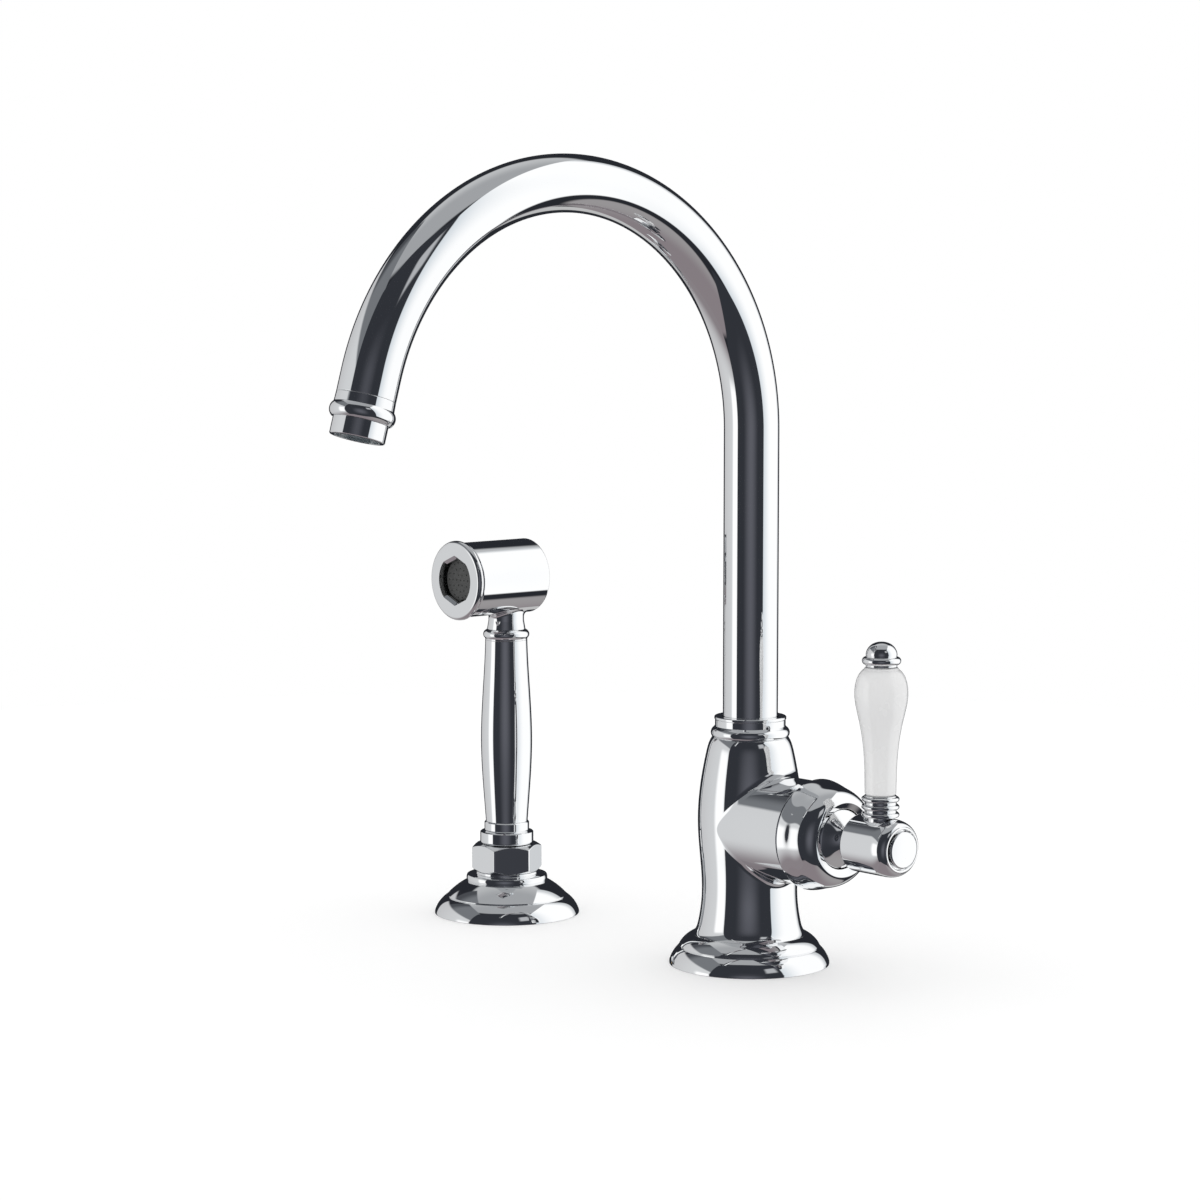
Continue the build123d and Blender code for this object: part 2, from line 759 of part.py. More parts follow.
def stem_bell():
    """Flared bell on the stem, with a round skirt that stays under the cover as the lever tilts."""
    bore = stem_r + seat_gap
    inner = skirt_r - bell_wall
    edge = radians(bell_skirt_angle)
    rim = asin(bell_rim_r / skirt_r)
    outer_middle = (rim + edge) / 2
    inner_end = rim * 0.85
    inner_middle = (inner_end + edge) / 2

    def on_sphere(r, angle):
        return (r * sin(angle), pivot_x + r * cos(angle))

    return valve * turned(
        (bore, barrel_x), to(bell_neck_r, barrel_x), to(bell_neck_r, bell_neck_x),
        curve((bell_cone_r, bell_cone_x), (bell_rim_r, bell_rim_x), leaving=(0, -1), arriving=(1, -0.67)),
        arc(on_sphere(skirt_r, outer_middle), on_sphere(skirt_r, edge)),
        to(*on_sphere(inner, edge)),
        arc(on_sphere(inner, inner_middle), on_sphere(inner, inner_end)),
        to(bell_hub_r, bell_rim_x), to(bell_hub_r, bell_rim_x - bell_hub), to(bore, bell_rim_x - bell_hub),
    )


def lever_barrel():
    """Turned knob on the stem; the upright handle is fixed into its top."""
    groove_r = cap_r + cap_groove
    floor_x = cap_seat_x - 1
    stem_end_x = barrel_x + stem_socket + 0.1
    barrel = turned(
        (stem_r + seat_gap, barrel_x), to(barrel_r - 1.2, barrel_x),
        bulge(0.35, (barrel_r, barrel_x + 1.2)), to(barrel_r, barrel_round_x),
        curve((barrel_lip_r, barrel_lip_x - 0.4), leaving=(0, 1), arriving=(-1, 0.55)),
        to(barrel_lip_r - 0.3, barrel_lip_x), to(groove_r + 0.2, barrel_lip_x),
        to(groove_r, barrel_lip_x - 0.2), to(groove_r, floor_x + cap_spigot),
        to(cap_r - 1, floor_x + cap_spigot), to(cap_r - 1, floor_x), to(0, floor_x),
        to(0, stem_end_x), to(stem_r + seat_gap, stem_end_x),
    )
    barrel = valve * barrel
    barrel -= lever_axis * rod(ferrule_neck_r + seat_gap, lever_seat, barrel_r + 1)
    barrel -= lever_axis * rod(tie_r + seat_gap, -tie_depth - 0.1, lever_seat)
    return barrel - barrel_screw_axis * rod(barrel_screw_r + seat_gap, -barrel_r - 1, -stem_r)


def barrel_grub_screw():
    """Socket grub screw under the barrel, against the stem."""
    low = -barrel_r + 0.6
    key = Pos(0, 0, low) * extrude(RegularPolygon(0.58 * barrel_screw_r, 6), barrel_screw_r)
    return barrel_screw_axis * (rod(barrel_screw_r, low, -stem_r - seat_gap) - key)


def end_cap():
    """Slightly crowned plug in the barrel's end."""
    low = cap_seat_x - 1 + seat_gap
    spigot = cap_r - 1 - seat_gap
    edge = cap_x - cap_crown
    return valve * turned(
        (0, low), to(spigot, low), to(spigot, low + cap_spigot), to(cap_r, low + cap_spigot),
        to(cap_r, edge - 0.5), bulge(0.19, (cap_r - 1.0, edge)),
        arc(crown_middle(cap_r - 1.0, edge, cap_x), (0, cap_x)),
    )


def lever_ferrule():
    """Turned ferrule with three beads between the barrel and the porcelain."""
    half = ferrule_bead_half
    steps = [to(ferrule_neck_r, lever_seat), to(ferrule_neck_r, ferrule_first_bead - half - 0.1)]
    for bead in range(ferrule_beads):
        middle = ferrule_first_bead + bead * ferrule_pitch
        steps.append(to(ferrule_groove_r, middle - half))
        steps.append(arc((ferrule_bead_r, middle), (ferrule_groove_r, middle + half)))
    steps.append(to(ferrule_groove_r, ferrule_h))
    steps.append(to(tie_r + seat_gap, ferrule_h))
    return lever_axis * turned((tie_r + seat_gap, lever_seat), *steps)


def porcelain_handle():
    """Bottle-shaped porcelain grip with a hole for the tie rod."""
    bore = tie_r + 0.4
    handle = turned(
        (bore, handle_z), to(handle_foot_r - 0.3, handle_z), to(handle_foot_r, handle_z + 0.4),
        curve((handle_waist_r, handle_z + 0.261 * handle_length),
              (handle_swell_r, handle_z + 0.569 * handle_length),
              (handle_max_r, handle_z + 0.843 * handle_length),
              (handle_top_r + 0.6, handle_top_z - 0.8), leaving=(0.02, 1), arriving=(-1, 0.75)),
        to(handle_top_r, handle_top_z), to(bore, handle_top_z),
    )
    return Location((lever_x, 0, 0)) * handle


def handle_washers():
    """Thin nylon washers at both ends of the porcelain."""
    low = ring(washer_r, tie_r + seat_gap, ferrule_top_z, handle_z)
    high = ring(washer_r, tie_r + seat_gap, handle_top_z, finial_z)
    return Compound([Location((lever_x, 0, 0)) * washer for washer in (low, high)])


def tie_rod():
    """Threaded rod that clamps ferrule, porcelain and finial to the barrel."""
    return Location((lever_x, 0, 0)) * rod(tie_r, valve_z - tie_depth, finial_z + tie_reach)


def finial():
    """Turned finial nut with a rounded ring under a dome."""
    bore = tie_r + seat_gap
    ring_z = finial_z + finial_neck_h
    dome_z = ring_z + finial_ring_h
    equator = dome_z + 1.0
    rise = finial_top_z - equator
    return Location((lever_x, 0, 0)) * turned(
        (bore, finial_z), to(finial_neck_r, finial_z), to(finial_neck_r, ring_z),
        to(finial_ring_r - 1.1, ring_z), bulge(1.1, (finial_ring_r - 1.1, dome_z)),
        to(finial_dome_r - 0.15, dome_z), to(finial_dome_r, equator),
        curve((finial_dome_r * sin(pi / 4), equator + rise * sin(pi / 4)), (0, finial_top_z),
              leaving=(0, 1), arriving=(-1, 0)),
        to(0, finial_z + tie_reach + seat_gap), to(bore, finial_z + tie_reach + seat_gap),
    )


# ---- hand spray: holder --------------------------------------------------------------------------
def spray_flange():
    inner = holder_tube_r + seat_gap
    profile = turned(
        (inner, 0), to(holder_r, 0), to(holder_r, 0.8),
        bulge(holder_low_bulge, (holder_groove_r + 0.2, holder_groove_z - 0.1)),
        to(holder_groove_r - 0.5, holder_groove_z), to(holder_groove_r - 0.4, holder_groove_z + 0.5),
        bulge(holder_high_bulge, (holder_cone_r, holder_cone_z)), to(holder_ring_r, holder_cone_z + 0.2),
        bulge(0.35, (holder_ring_r, holder_ring_z - 0.1)),
        to(holder_ring_r - 0.4, holder_ring_z), to(holder_neck_r, holder_ring_z + 0.3),
        to(holder_neck_r, hex_z), to(inner, hex_z),
    )
    return spray * (profile - gasket_groove(holder_gasket_r))


def holder_tube():
    """Threaded brass tube through the worktop; it carries the guide bush."""
    return spray * ring(holder_tube_r, holder_bore_r, -holder_length, hex_top_z - hex_lip)


def holder_hex():
    """Hexagon guide nut that clamps the flange and takes the foot of the spray."""
    nut = hexagon(hex_flats, hex_z, hex_top_z, 0.75)
    nut -= rod(holder_tube_r + seat_gap, hex_z, hex_top_z - hex_lip + seat_gap)
    nut -= rod(bush_r + 0.5, hex_z, hex_top_z)
    return spray * Rot(0, 0, hex_turn) * nut


def guide_bush():
    """Plastic bush that guides the hose end."""
    return spray * ring(holder_bore_r - seat_gap, bush_r, bush_low_z, hex_top_z - hex_lip - seat_gap)


# ---- hand spray: swivel and grip -----------------------------------------------------------------
ferrule_low_z = hex_top_z + rest_gap
swivel_top_z = swivel_nut_z + swivel_nut_t


def hose_connector():
    """Brass end piece of the hose: it slides in the holder, and the grip turns on its neck."""
    outer = bush_r - running_gap
    shoulder_z = ferrule_low_z - running_gap
    body = turned(
        (connector_bore_r, connector_low_z), to(outer - 0.8, connector_low_z),
        to(outer, connector_low_z + 0.8), to(outer, shoulder_z - 0.8), to(outer - 0.8, shoulder_z),
        to(connector_neck_r, shoulder_z), to(connector_neck_r, swivel_nut_z),
        to(swivel_thread_r, swivel_nut_z), to(swivel_thread_r, swivel_top_z),
        to(connector_bore_r, swivel_top_z),
    )
    body -= rod(hose_socket_r, connector_low_z, connector_low_z + hose_socket_depth)
    return spray * (body - o_ring_groove(connector_neck_r, ferrule_low_z + swivel_ring_up))


def swivel_o_ring():
    return spray * o_ring(connector_neck_r + running_gap - ring_gap, ferrule_low_z + swivel_ring_up)


def swivel_nut():
    """Nut on the connector's neck that keeps the grip on."""
    return spray * ring(swivel_nut_r, swivel_thread_r + seat_gap, swivel_nut_z + seat_gap, swivel_top_z)


def grip_collar():
    """Stepped ring at the foot of the grip."""
    bore = connector_neck_r + running_gap
    pocket = swivel_nut_r + free_gap
    pocket_z = swivel_nut_z - free_gap
    thread = grip_bore_r - seat_gap
    return spray * turned(
        (bore, ferrule_low_z), to(collar_low_r - 0.9, ferrule_low_z),
        bulge(0.32, (collar_low_r, ferrule_low_z + 1.4)),
        to(collar_low_r, collar_low_top - 0.4), to(collar_low_r - 0.5, collar_low_top),
        to(collar_up_r - 0.4, collar_low_top), to(collar_up_r, collar_low_top + 0.7),
        to(collar_up_r, collar_up_top - 0.5), to(collar_up_r - 0.4, collar_up_top),
        to(thread, collar_up_top), to(thread, pocket_z), to(bore, pocket_z),
    )


def spray_grip():
    """Hollow turned grip, swelling to its middle."""
    return spray * turned(
        (grip_bore_r, collar_up_top), to(grip_foot_r, collar_up_top),
        curve((grip_belly_r, grip_belly_z), (grip_top_r, grip_top_z),
              leaving=(0.07, 1), arriving=(-0.02, 1)),
        to(grip_bore_r, grip_top_z),
    )


def neck_ring():
    """Turned bead between the grip and the head's neck, with a spigot into each."""
    low = grip_top_z - neck_spigot
    spigot = grip_bore_r - seat_gap
    return spray * turned(
        (neck_bore_r, low), to(spigot, low), to(spigot, grip_top_z),
        to(grip_top_r, grip_top_z), to(neck_bead_r, neck_bead_z - neck_bead_half),
        bulge(neck_bead, (neck_bead_r, neck_bead_z + neck_bead_half)),
        to(neck_base_r, neck_base_z), to(neck_bore_r, neck_base_z),
    )


def waterway_tube():
    """Plastic tube that carries the water up through the grip."""
    high = head_z - head_r + head_wall + 0.7
    return spray * ring(waterway_r, waterway_bore_r, swivel_top_z + free_gap, high)


# ---- hand spray: head ----------------------------------------------------------------------------
def head_shell():
    """Hollow head: a cylinder lying on a flared neck, with a boss for the button at the back."""
    drum = rod(head_r, head_back, head_front)
    drum = fillet(drum.edges().group_by(Axis.Z)[0], 0.9)
    drum = fillet(drum.edges().group_by(Axis.Z)[-1], head_edge)
    neck = spray * turned((0, neck_base_z), to(neck_base_r, neck_base_z), to(neck_top_r, neck_flare_z),
                          to(neck_top_r, head_z), to(0, head_z))
    shell = head * drum + neck
    saddle = [edge for edge in shell.edges()
              if edge.geom_type not in (GeomType.CIRCLE, GeomType.LINE)]
    shell = fillet(saddle, head_fillet)
    hollow = rod(head_r - head_wall, head_back + head_wall, head_front)
    hollow -= rod(button_boss_r, head_back, head_back + button_length)
    shell -= head * hollow
    shell -= head * rod(button_r + running_gap, head_back, head_back + button_length)
    return shell - spray * rod(waterway_r + seat_gap, neck_base_z, head_z - head_r + 2 * head_wall)


def tab_places():
    """The face's upper and lower quarters, where the tabs are."""
    reach = 2 * face_hole_r
    quarter = Polyline((0, 0), (reach, reach), (-reach, reach), (0, 0))
    return [Rot(0, 0, turn) * extrude(make_face(quarter), face_s + 1) for turn in (0, 180)]


def face_ring():
    """Screwed face ring; two bevelled tabs in its hole take the key that tightens it."""
    thread = head_r - head_wall - seat_gap
    flange_s = disc_s - disc_step
    body = turned(
        (disc_flange_r + seat_gap, face_thread_s), to(thread, face_thread_s), to(thread, head_front),
        to(face_groove_r, head_front), to(face_groove_r, face_rim_s), to(face_r - 0.3, face_rim_s),
        to(face_r, face_rim_s + 0.3), to(face_r, face_s - face_edge),
        bulge(0.29 * face_edge, (face_r - face_edge, face_s)),
        to(face_hole_r, face_s), to(face_hole_r, flange_s), to(disc_flange_r + seat_gap, flange_s),
    )
    blank = rod(face_hole_r + 0.5, face_s - face_tab_t, face_s)
    mouth = loft([Pos(0, 0, face_s - face_tab_slope) * RegularPolygon(face_tab_r, 8),
                  Pos(0, 0, face_s + 0.01) * RegularPolygon(face_hole_r + 0.2, 8)])
    through = Pos(0, 0, face_s - face_tab_t) * extrude(RegularPolygon(face_tab_r, 8), face_tab_t)
    tabs = blank - mouth - through
    for place in tab_places():
        body += tabs & place
    return head * body


def spray_disc():
    """Rubber disc with the spray's nozzles, held behind the face ring."""
    back = disc_s - disc_step - disc_flange_t
    flange_s = disc_s - disc_step - seat_gap
    disc = turned(
        (0, back), to(disc_flange_r, back), to(disc_flange_r, flange_s), to(disc_r + 0.2, flange_s),
        to(disc_r, disc_s - 0.6), bulge(0.21, (disc_r - 0.7, disc_s)), to(0, disc_s),
    )
    nozzle = rod(nozzle_r, back, disc_s)
    disc -= [place * nozzle for place in in_rings(disc_r - 2.0, nozzle_rows)]
    return head * disc


def flow_plate():
    """Plastic plate that spreads the water over the disc."""
    high = disc_s - disc_step - disc_flange_t - seat_gap
    low = high - plate_t
    hole = rod(plate_hole_r, low, high)
    places = in_rings(disc_flange_r - 4.4, 2)
    return head * (rod(disc_flange_r, low, high) - [place * hole for place in places])


def valve_seat():
    """Brass seat across the head; the washer closes it from the front."""
    seat = rod(head_r - head_wall - seat_gap, valve_seat_s, valve_seat_s + valve_seat_t)
    return head * (seat - rod(valve_hole_r, valve_seat_s, valve_seat_s + valve_seat_t))


button_face_s = head_back - button_out
button_inner_s = button_face_s + button_length
washer_s = valve_seat_s + valve_seat_t + seat_gap


def thumb_button():
    """Crowned push button at the back of the head, with an O-ring groove."""
    button = turned(
        (0, button_face_s),
        arc(crown_middle(button_r - 1.2, button_face_s + 0.6, button_face_s),
            (button_r - 1.2, button_face_s + 0.6)),
        bulge(0.35, (button_r, button_face_s + 1.6)),
        to(button_r, button_inner_s), to(0, button_inner_s),
    )
    button -= o_ring_groove(button_r, button_inner_s - button_ring)
    return head * (button - rod(valve_stem_r + seat_gap, button_inner_s - button_socket, button_inner_s))


def button_o_ring():
    return head * o_ring(button_r + running_gap - ring_gap, button_inner_s - button_ring)


def valve_stem():
    """Steel stem from the button through the seat to the washer's collar."""
    end = washer_s + valve_washer_t + valve_collar_t
    stem = rod(valve_stem_r, button_inner_s - button_socket + seat_gap, end)
    return head * (stem + rod(valve_collar_r, end - valve_collar_t, end))


def valve_washer():
    return head * ring(valve_washer_r, valve_stem_r + seat_gap, washer_s, washer_s + valve_washer_t)


def button_spring():
    """Return spring on the stem, drawn as its envelope."""
    return head * ring(spring_r, spring_bore_r, button_inner_s + seat_gap, valve_seat_s - seat_gap)


# ---- write ---------------------------------------------------------------------------------------
base_seal, base_washer, base_locknut = clamp_stack(shank_r, clamp_washer_r, locknut_flats)
spray_seal, spray_washer, spray_locknut = clamp_stack(holder_tube_r, holder_washer_r, holder_nut_flats)

nodes = {
    "base_flange": base_flange(),
    "deck_gaskets": Compound([deck_gasket(gasket_r), spray * deck_gasket(holder_gasket_r)]),
    "mounting_shank": mounting_shank(),
    "clamp_seals": Compound([base_seal, spray * spray_seal]),
    "clamp_washers": Compound([base_washer, spray * spray_washer]),
    "shank_locknut": base_locknut,
    "faucet_body": faucet_body(),
    "spout_collar": spout_collar(),
    "collar_grub_screw": collar_grub_screw(),
    "spout_tube": spout_tube(),
    "spout_foot": spout_foot(),
    "spout_o_rings": spout_o_rings(),
    "tip_ferrule": tip_ferrule(),
    "aerator_housing": aerator_housing(),
    "aerator_gasket": aerator_gasket(),
    "aerator_insert": aerator_insert(),
    "diverter_seat": diverter_seat(),
    "diverter_plunger": diverter_plunger(),
    "diverter_seal": diverter_seal(),
    "cartridge_housing": cartridge_housing(),
    "cartridge_seals": cartridge_seals(),
    "fixed_disc": fixed_disc(),
    "moving_disc": moving_disc(),
    "disc_carrier": disc_carrier(),
    "cartridge_rotor": cartridge_rotor(),
    "pivot_pin": pivot_pin(),
    "cartridge_nut": cartridge_nut(),
    "valve_cover": valve_cover(),
    "lever_stem": lever_stem(),
    "stem_bell": stem_bell(),
    "lever_barrel": lever_barrel(),
    "barrel_grub_screw": barrel_grub_screw(),
    "end_cap": end_cap(),
    "lever_ferrule": lever_ferrule(),
    "porcelain_handle": porcelain_handle(),
    "handle_washers": handle_washers(),
    "tie_rod": tie_rod(),
    "finial": finial(),
    "spray_flange": spray_flange(),
    "holder_tube": holder_tube(),
    "holder_locknut": spray * spray_locknut,
    "holder_hex": holder_hex(),
    "guide_bush": guide_bush(),
    "hose_connector": hose_connector(),
    "swivel_o_ring": swivel_o_ring(),
    "swivel_nut": swivel_nut(),
    "grip_collar": grip_collar(),
    "spray_grip": spray_grip(),
    "waterway_tube": waterway_tube(),
    "neck_ring": neck_ring(),
    "head_shell": head_shell(),
    "face_ring": face_ring(),
    "spray_disc": spray_disc(),
    "flow_plate": flow_plate(),
    "valve_seat": valve_seat(),
    "thumb_button": thumb_button(),
    "button_o_ring": button_o_ring(),
    "button_spring": button_spring(),
    "valve_stem": valve_stem(),
    "valve_washer": valve_washer(),
}

os.makedirs("parts", exist_ok=True)
for name, shape in nodes.items():
    export_step(shape, f"parts/{name}.step")
    print(f"{name:20s} {shape.volume:10.1f} mm3")
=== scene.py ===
import math

import bmesh
import bpy
import numpy as np
from mathutils import Matrix, Vector, kdtree


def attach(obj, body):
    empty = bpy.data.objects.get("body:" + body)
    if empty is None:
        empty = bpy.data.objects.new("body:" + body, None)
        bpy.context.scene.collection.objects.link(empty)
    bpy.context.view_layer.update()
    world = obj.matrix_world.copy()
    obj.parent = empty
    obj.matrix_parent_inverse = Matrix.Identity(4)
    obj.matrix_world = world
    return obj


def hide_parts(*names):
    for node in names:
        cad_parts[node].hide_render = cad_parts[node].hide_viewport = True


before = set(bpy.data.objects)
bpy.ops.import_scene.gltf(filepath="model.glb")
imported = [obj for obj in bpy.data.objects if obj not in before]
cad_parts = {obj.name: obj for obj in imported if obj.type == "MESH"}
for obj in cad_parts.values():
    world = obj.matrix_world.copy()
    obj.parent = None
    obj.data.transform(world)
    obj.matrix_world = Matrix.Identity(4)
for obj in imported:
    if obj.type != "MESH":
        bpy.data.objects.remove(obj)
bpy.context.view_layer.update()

# ---- Photographer's camera -------------------------------------------------------------------------
# A long lens a good metre and a half from the faucet, a little above the level of the spout's foot.
# It looks past the front left corner, so that spout, valve and hand spray stand side by side.
camera = bpy.data.objects.new("camera", bpy.data.cameras.new("camera"))
bpy.context.scene.collection.objects.link(camera)
camera.data.lens = 103.2
camera.data.sensor_width = 36.0
camera.location = (1.0805, -1.0223, 0.3154)
camera.rotation_euler = (math.radians(84.03), 0.0, math.radians(49.11))
bpy.context.scene.camera = camera
bpy.context.scene.view_settings.view_transform = "Standard"

# ---- Studio ----------------------------------------------------------------------------------------
# A white room with plain soft light from all round. Polished metal shows what stands in it: a charcoal
# screen behind the camera, a large white screen on the right, a pale grey one on the left with a bright
# window at its edge, a grey ceiling and a warm grey ground.
studio = bpy.data.worlds.new("studio")
bpy.context.scene.world = studio
studio.use_nodes = True
room = studio.node_tree.nodes
wires = studio.node_tree.links
toward_camera = math.degrees(math.atan2(camera.location.y, camera.location.x))
gaze = room.new("ShaderNodeTexCoord").outputs["Generated"]


def reckon(operation, first, second=0.0, third=0.0):
    """One step of arithmetic on values of the room."""
    step = room.new("ShaderNodeMath")
    step.operation = operation
    for socket, value in zip(step.inputs, (first, second, third)):
        if isinstance(value, (int, float)):
            socket.default_value = value
        else:
            wires.new(value, socket)
    return step.outputs["Value"]


def eased(value, none, full):
    """0 where the value is at none, 1 where it is at full, and smooth between."""
    span = room.new("ShaderNodeMapRange")
    span.interpolation_type = "SMOOTHSTEP"
    span.inputs["From Min"].default_value = none
    span.inputs["From Max"].default_value = full
    wires.new(value, span.inputs["Value"])
    return span.outputs["Result"]


def facing(azimuth):
    """Where a gaze meets an upright screen that stands square to that azimuth: ahead, aside and height."""
    turn = room.new("ShaderNodeVectorRotate")
    turn.rotation_type = "Z_AXIS"
    turn.inputs["Angle"].default_value = -math.radians(toward_camera + azimuth)
    wires.new(gaze, turn.inputs["Vector"])
    parts = room.new("ShaderNodeSeparateXYZ")
    wires.new(turn.outputs["Vector"], parts.inputs["Vector"])
    ahead = reckon("MAXIMUM", parts.outputs["X"], 0.001)
    return ahead, reckon("DIVIDE", parts.outputs["Y"], ahead), reckon("DIVIDE", parts.outputs["Z"], ahead)


def within(value, low, high, blur):
    """1 between two angles, given in degrees from the screen's middle, with soft ends."""
    first, last = math.tan(math.radians(low)), math.tan(math.radians(high))
    off = reckon("ABSOLUTE", reckon("SUBTRACT", value, (first + last) / 2))
    half = (last - first) / 2
    return eased(off, half + blur, half - blur)


def screen(azimuth, left, right, low, high, blur=0.03):
    """How far a gaze falls on that screen, and where on it."""
    ahead, aside, height = facing(azimuth)
    on = reckon("MULTIPLY", within(aside, left, right, blur), within(height, low, high, blur))
    return reckon("MULTIPLY", on, reckon("GREATER_THAN", ahead, 0.01)), aside, height


def painted(under, share, colour):
    """The room's colour with another laid over part of it."""
    mix = room.new("ShaderNodeMix")
    mix.data_type = "RGBA"
    wires.new(share, mix.inputs[0])
    for socket, value in zip([s for s in mix.inputs if s.type == "RGBA"], (under, colour)):
        if isinstance(value, tuple):
            socket.default_value = (*value, 1.0)
        else:
            wires.new(value, socket)
    return [s for s in mix.outputs if s.type == "RGBA"][0]


up = room.new("ShaderNodeSeparateXYZ")
wires.new(gaze, up.inputs["Vector"])
rise = up.outputs["Z"]
walls = (0.022, 0.024, 0.030)
ahead = facing(0.0)[0]
behind = facing(-172.0)[0]
ceiling = painted((0.39, 0.40, 0.415), eased(behind, 0.1, 0.6), (0.55, 0.56, 0.57))
edge = reckon("SUBTRACT", rise, reckon("MULTIPLY", ahead, 0.34))
view = painted(walls, eased(edge, 0.70, 0.76), ceiling)
right_side = facing(90.0)[0]
ground = painted((0.262, 0.228, 0.244), eased(right_side, 0.0, 0.6), (0.35, 0.335, 0.34))
view = painted(view, eased(rise, -0.68, -0.73), ground)

share, aside, tall = screen(180.0, -38.0, 38.0, -47.0, -33.0)
view = painted(view, share, (0.56, 0.56, 0.56))
share, aside, tall = screen(-96.0, -38.0, 40.0, 24.0, 58.0, 0.05)
above = painted((0.075, 0.080, 0.090), eased(aside, -0.6, -0.2), (0.19, 0.20, 0.215))
view = painted(view, share, painted(above, eased(tall, 0.6, 0.2), (0.52, 0.53, 0.55)))
share, aside, tall = screen(-103.0, -43.0, 43.0, -58.0, 31.0, 0.05)
pale = painted((0.60, 0.60, 0.61), eased(aside, -0.9, 0.5), (0.70, 0.71, 0.72))
view = painted(view, share, painted(pale, eased(tall, -0.35, -1.15), (0.27, 0.24, 0.255)))
share, aside, tall = screen(-72.0, -12.0, 12.0, -22.0, 16.0, 0.09)
view = painted(view, share, (1.15, 1.15, 1.15))
share, aside, tall = screen(98.0, -46.5, 47.0, -34.0, 60.0, 0.04)
bright = painted((0.76, 0.81, 0.85), eased(aside, -1.08, -0.15), (1.13, 1.13, 1.13))
view = painted(view, share, painted(bright, eased(aside, 0.62, 1.0), (0.66, 0.68, 0.70)))
share, aside, tall = screen(-4.5, -55.0, 54.5, -51.0, 63.5, 0.02)
glow = reckon("MULTIPLY", eased(reckon("ABSOLUTE", reckon("SUBTRACT", aside, 0.04)), 0.62, 0.0),
              eased(reckon("ABSOLUTE", reckon("ADD", tall, 0.02)), 0.75, 0.0))
view = painted(view, share, painted((0.033, 0.036, 0.044), glow, (0.118, 0.121, 0.142)))
share, aside, tall = screen(37.0, -10.0, 8.0, 31.0, 46.0, 0.06)
view = painted(view, share, (0.48, 0.49, 0.51))

path = room.new("ShaderNodeLightPath")
plain = painted((0.99, 0.99, 0.99), path.outputs["Is Camera Ray"], (1.0, 1.0, 1.0))
shown = reckon("MAXIMUM", path.outputs["Is Glossy Ray"], path.outputs["Is Transmission Ray"])
wires.new(painted(plain, shown, view), room["Background"].inputs["Color"])

floor_mesh = bpy.data.meshes.new("floor")
floor_edge = [(0.9 * math.cos(k * math.pi / 48) - 0.06, 0.9 * math.sin(k * math.pi / 48) - 0.06, 0.0)
              for k in range(96)]
floor_mesh.from_pydata(floor_edge, [], [list(range(96))])
floor = bpy.data.objects.new("floor", floor_mesh)
bpy.context.scene.collection.objects.link(floor)
floor.visible_glossy = False
paper = bpy.data.materials.new("white_paper")
paper.use_nodes = True
sheet = paper.node_tree.nodes["Principled BSDF"]
sheet.inputs["Base Color"].default_value = (0.90, 0.90, 0.90, 1.0)
sheet.inputs["Roughness"].default_value = 0.9
sheet.inputs["Specular IOR Level"].default_value = 0.0
sheet.inputs["Emission Color"].default_value = (1.0, 1.0, 1.0, 1.0)
seen = paper.node_tree.nodes.new("ShaderNodeLightPath")
lift = paper.node_tree.nodes.new("ShaderNodeMath")
lift.operation = "MULTIPLY"
lift.inputs[1].default_value = 0.15
paper.node_tree.links.new(seen.outputs["Is Camera Ray"], lift.inputs[0])
paper.node_tree.links.new(lift.outputs["Value"], sheet.inputs["Emission Strength"])
floor_mesh.materials.append(paper)

# ---- Base flange -----------------------------------------------------------------------------------
# Stepped brass ring that stands on the worktop: a wide bead, a fine groove and a second bead above it.
# Turned from bar, polished and chromium plated; the body's foot is screwed down into it.


def line_to(r, z, steps=1):
    """A straight cut to radius r and height z."""
    def run(start):
        end = np.array((r, z), float)
        way = (end - start) / np.linalg.norm(end - start)
        share = np.linspace(0.0, 1.0, steps + 1)[:, None]
        return start + share * (end - start), np.repeat(way[None], steps + 1, axis=0)
    return run


def bulge_to(out, r, z):
    """A round cut to (r, z) that stands out by that much over the straight line there."""
    def run(start):
        chord = np.array((r, z), float) - start
        length = np.linalg.norm(chord)
        along = chord / length
        aside = np.array((along[1], -along[0]))
        radius = (length ** 2 / 4 + out ** 2) / (2 * out)
        half = 2 * math.atan(2 * out / length)
        turn = np.linspace(-half, half, 3 + int(abs(half) / math.radians(1.5)))
        middle = start + chord / 2 - aside * (radius - out)
        points = middle + radius * (np.outer(np.sin(turn), along) + np.outer(np.cos(turn), aside))
        return points, np.outer(np.cos(turn), along) - np.outer(np.sin(turn), aside)
    return run


def ball_to(centre_z, r, z):
    """A cut to (r, z) on a ball whose middle is on the axis at centre_z."""
    def run(start):
        radius = math.hypot(r, z - centre_z)
        first = math.atan2(start[0], start[1] - centre_z)
        last = math.atan2(r, z - centre_z)
        turn = np.linspace(first, last, 3 + int(abs(last - first) / math.radians(2.5)))
        side = math.copysign(1.0, last - first)
        points = np.stack((radius * np.sin(turn), centre_z + radius * np.cos(turn)), axis=1)
        return points, side * np.stack((np.cos(turn), -np.sin(turn)), axis=1)
    return run


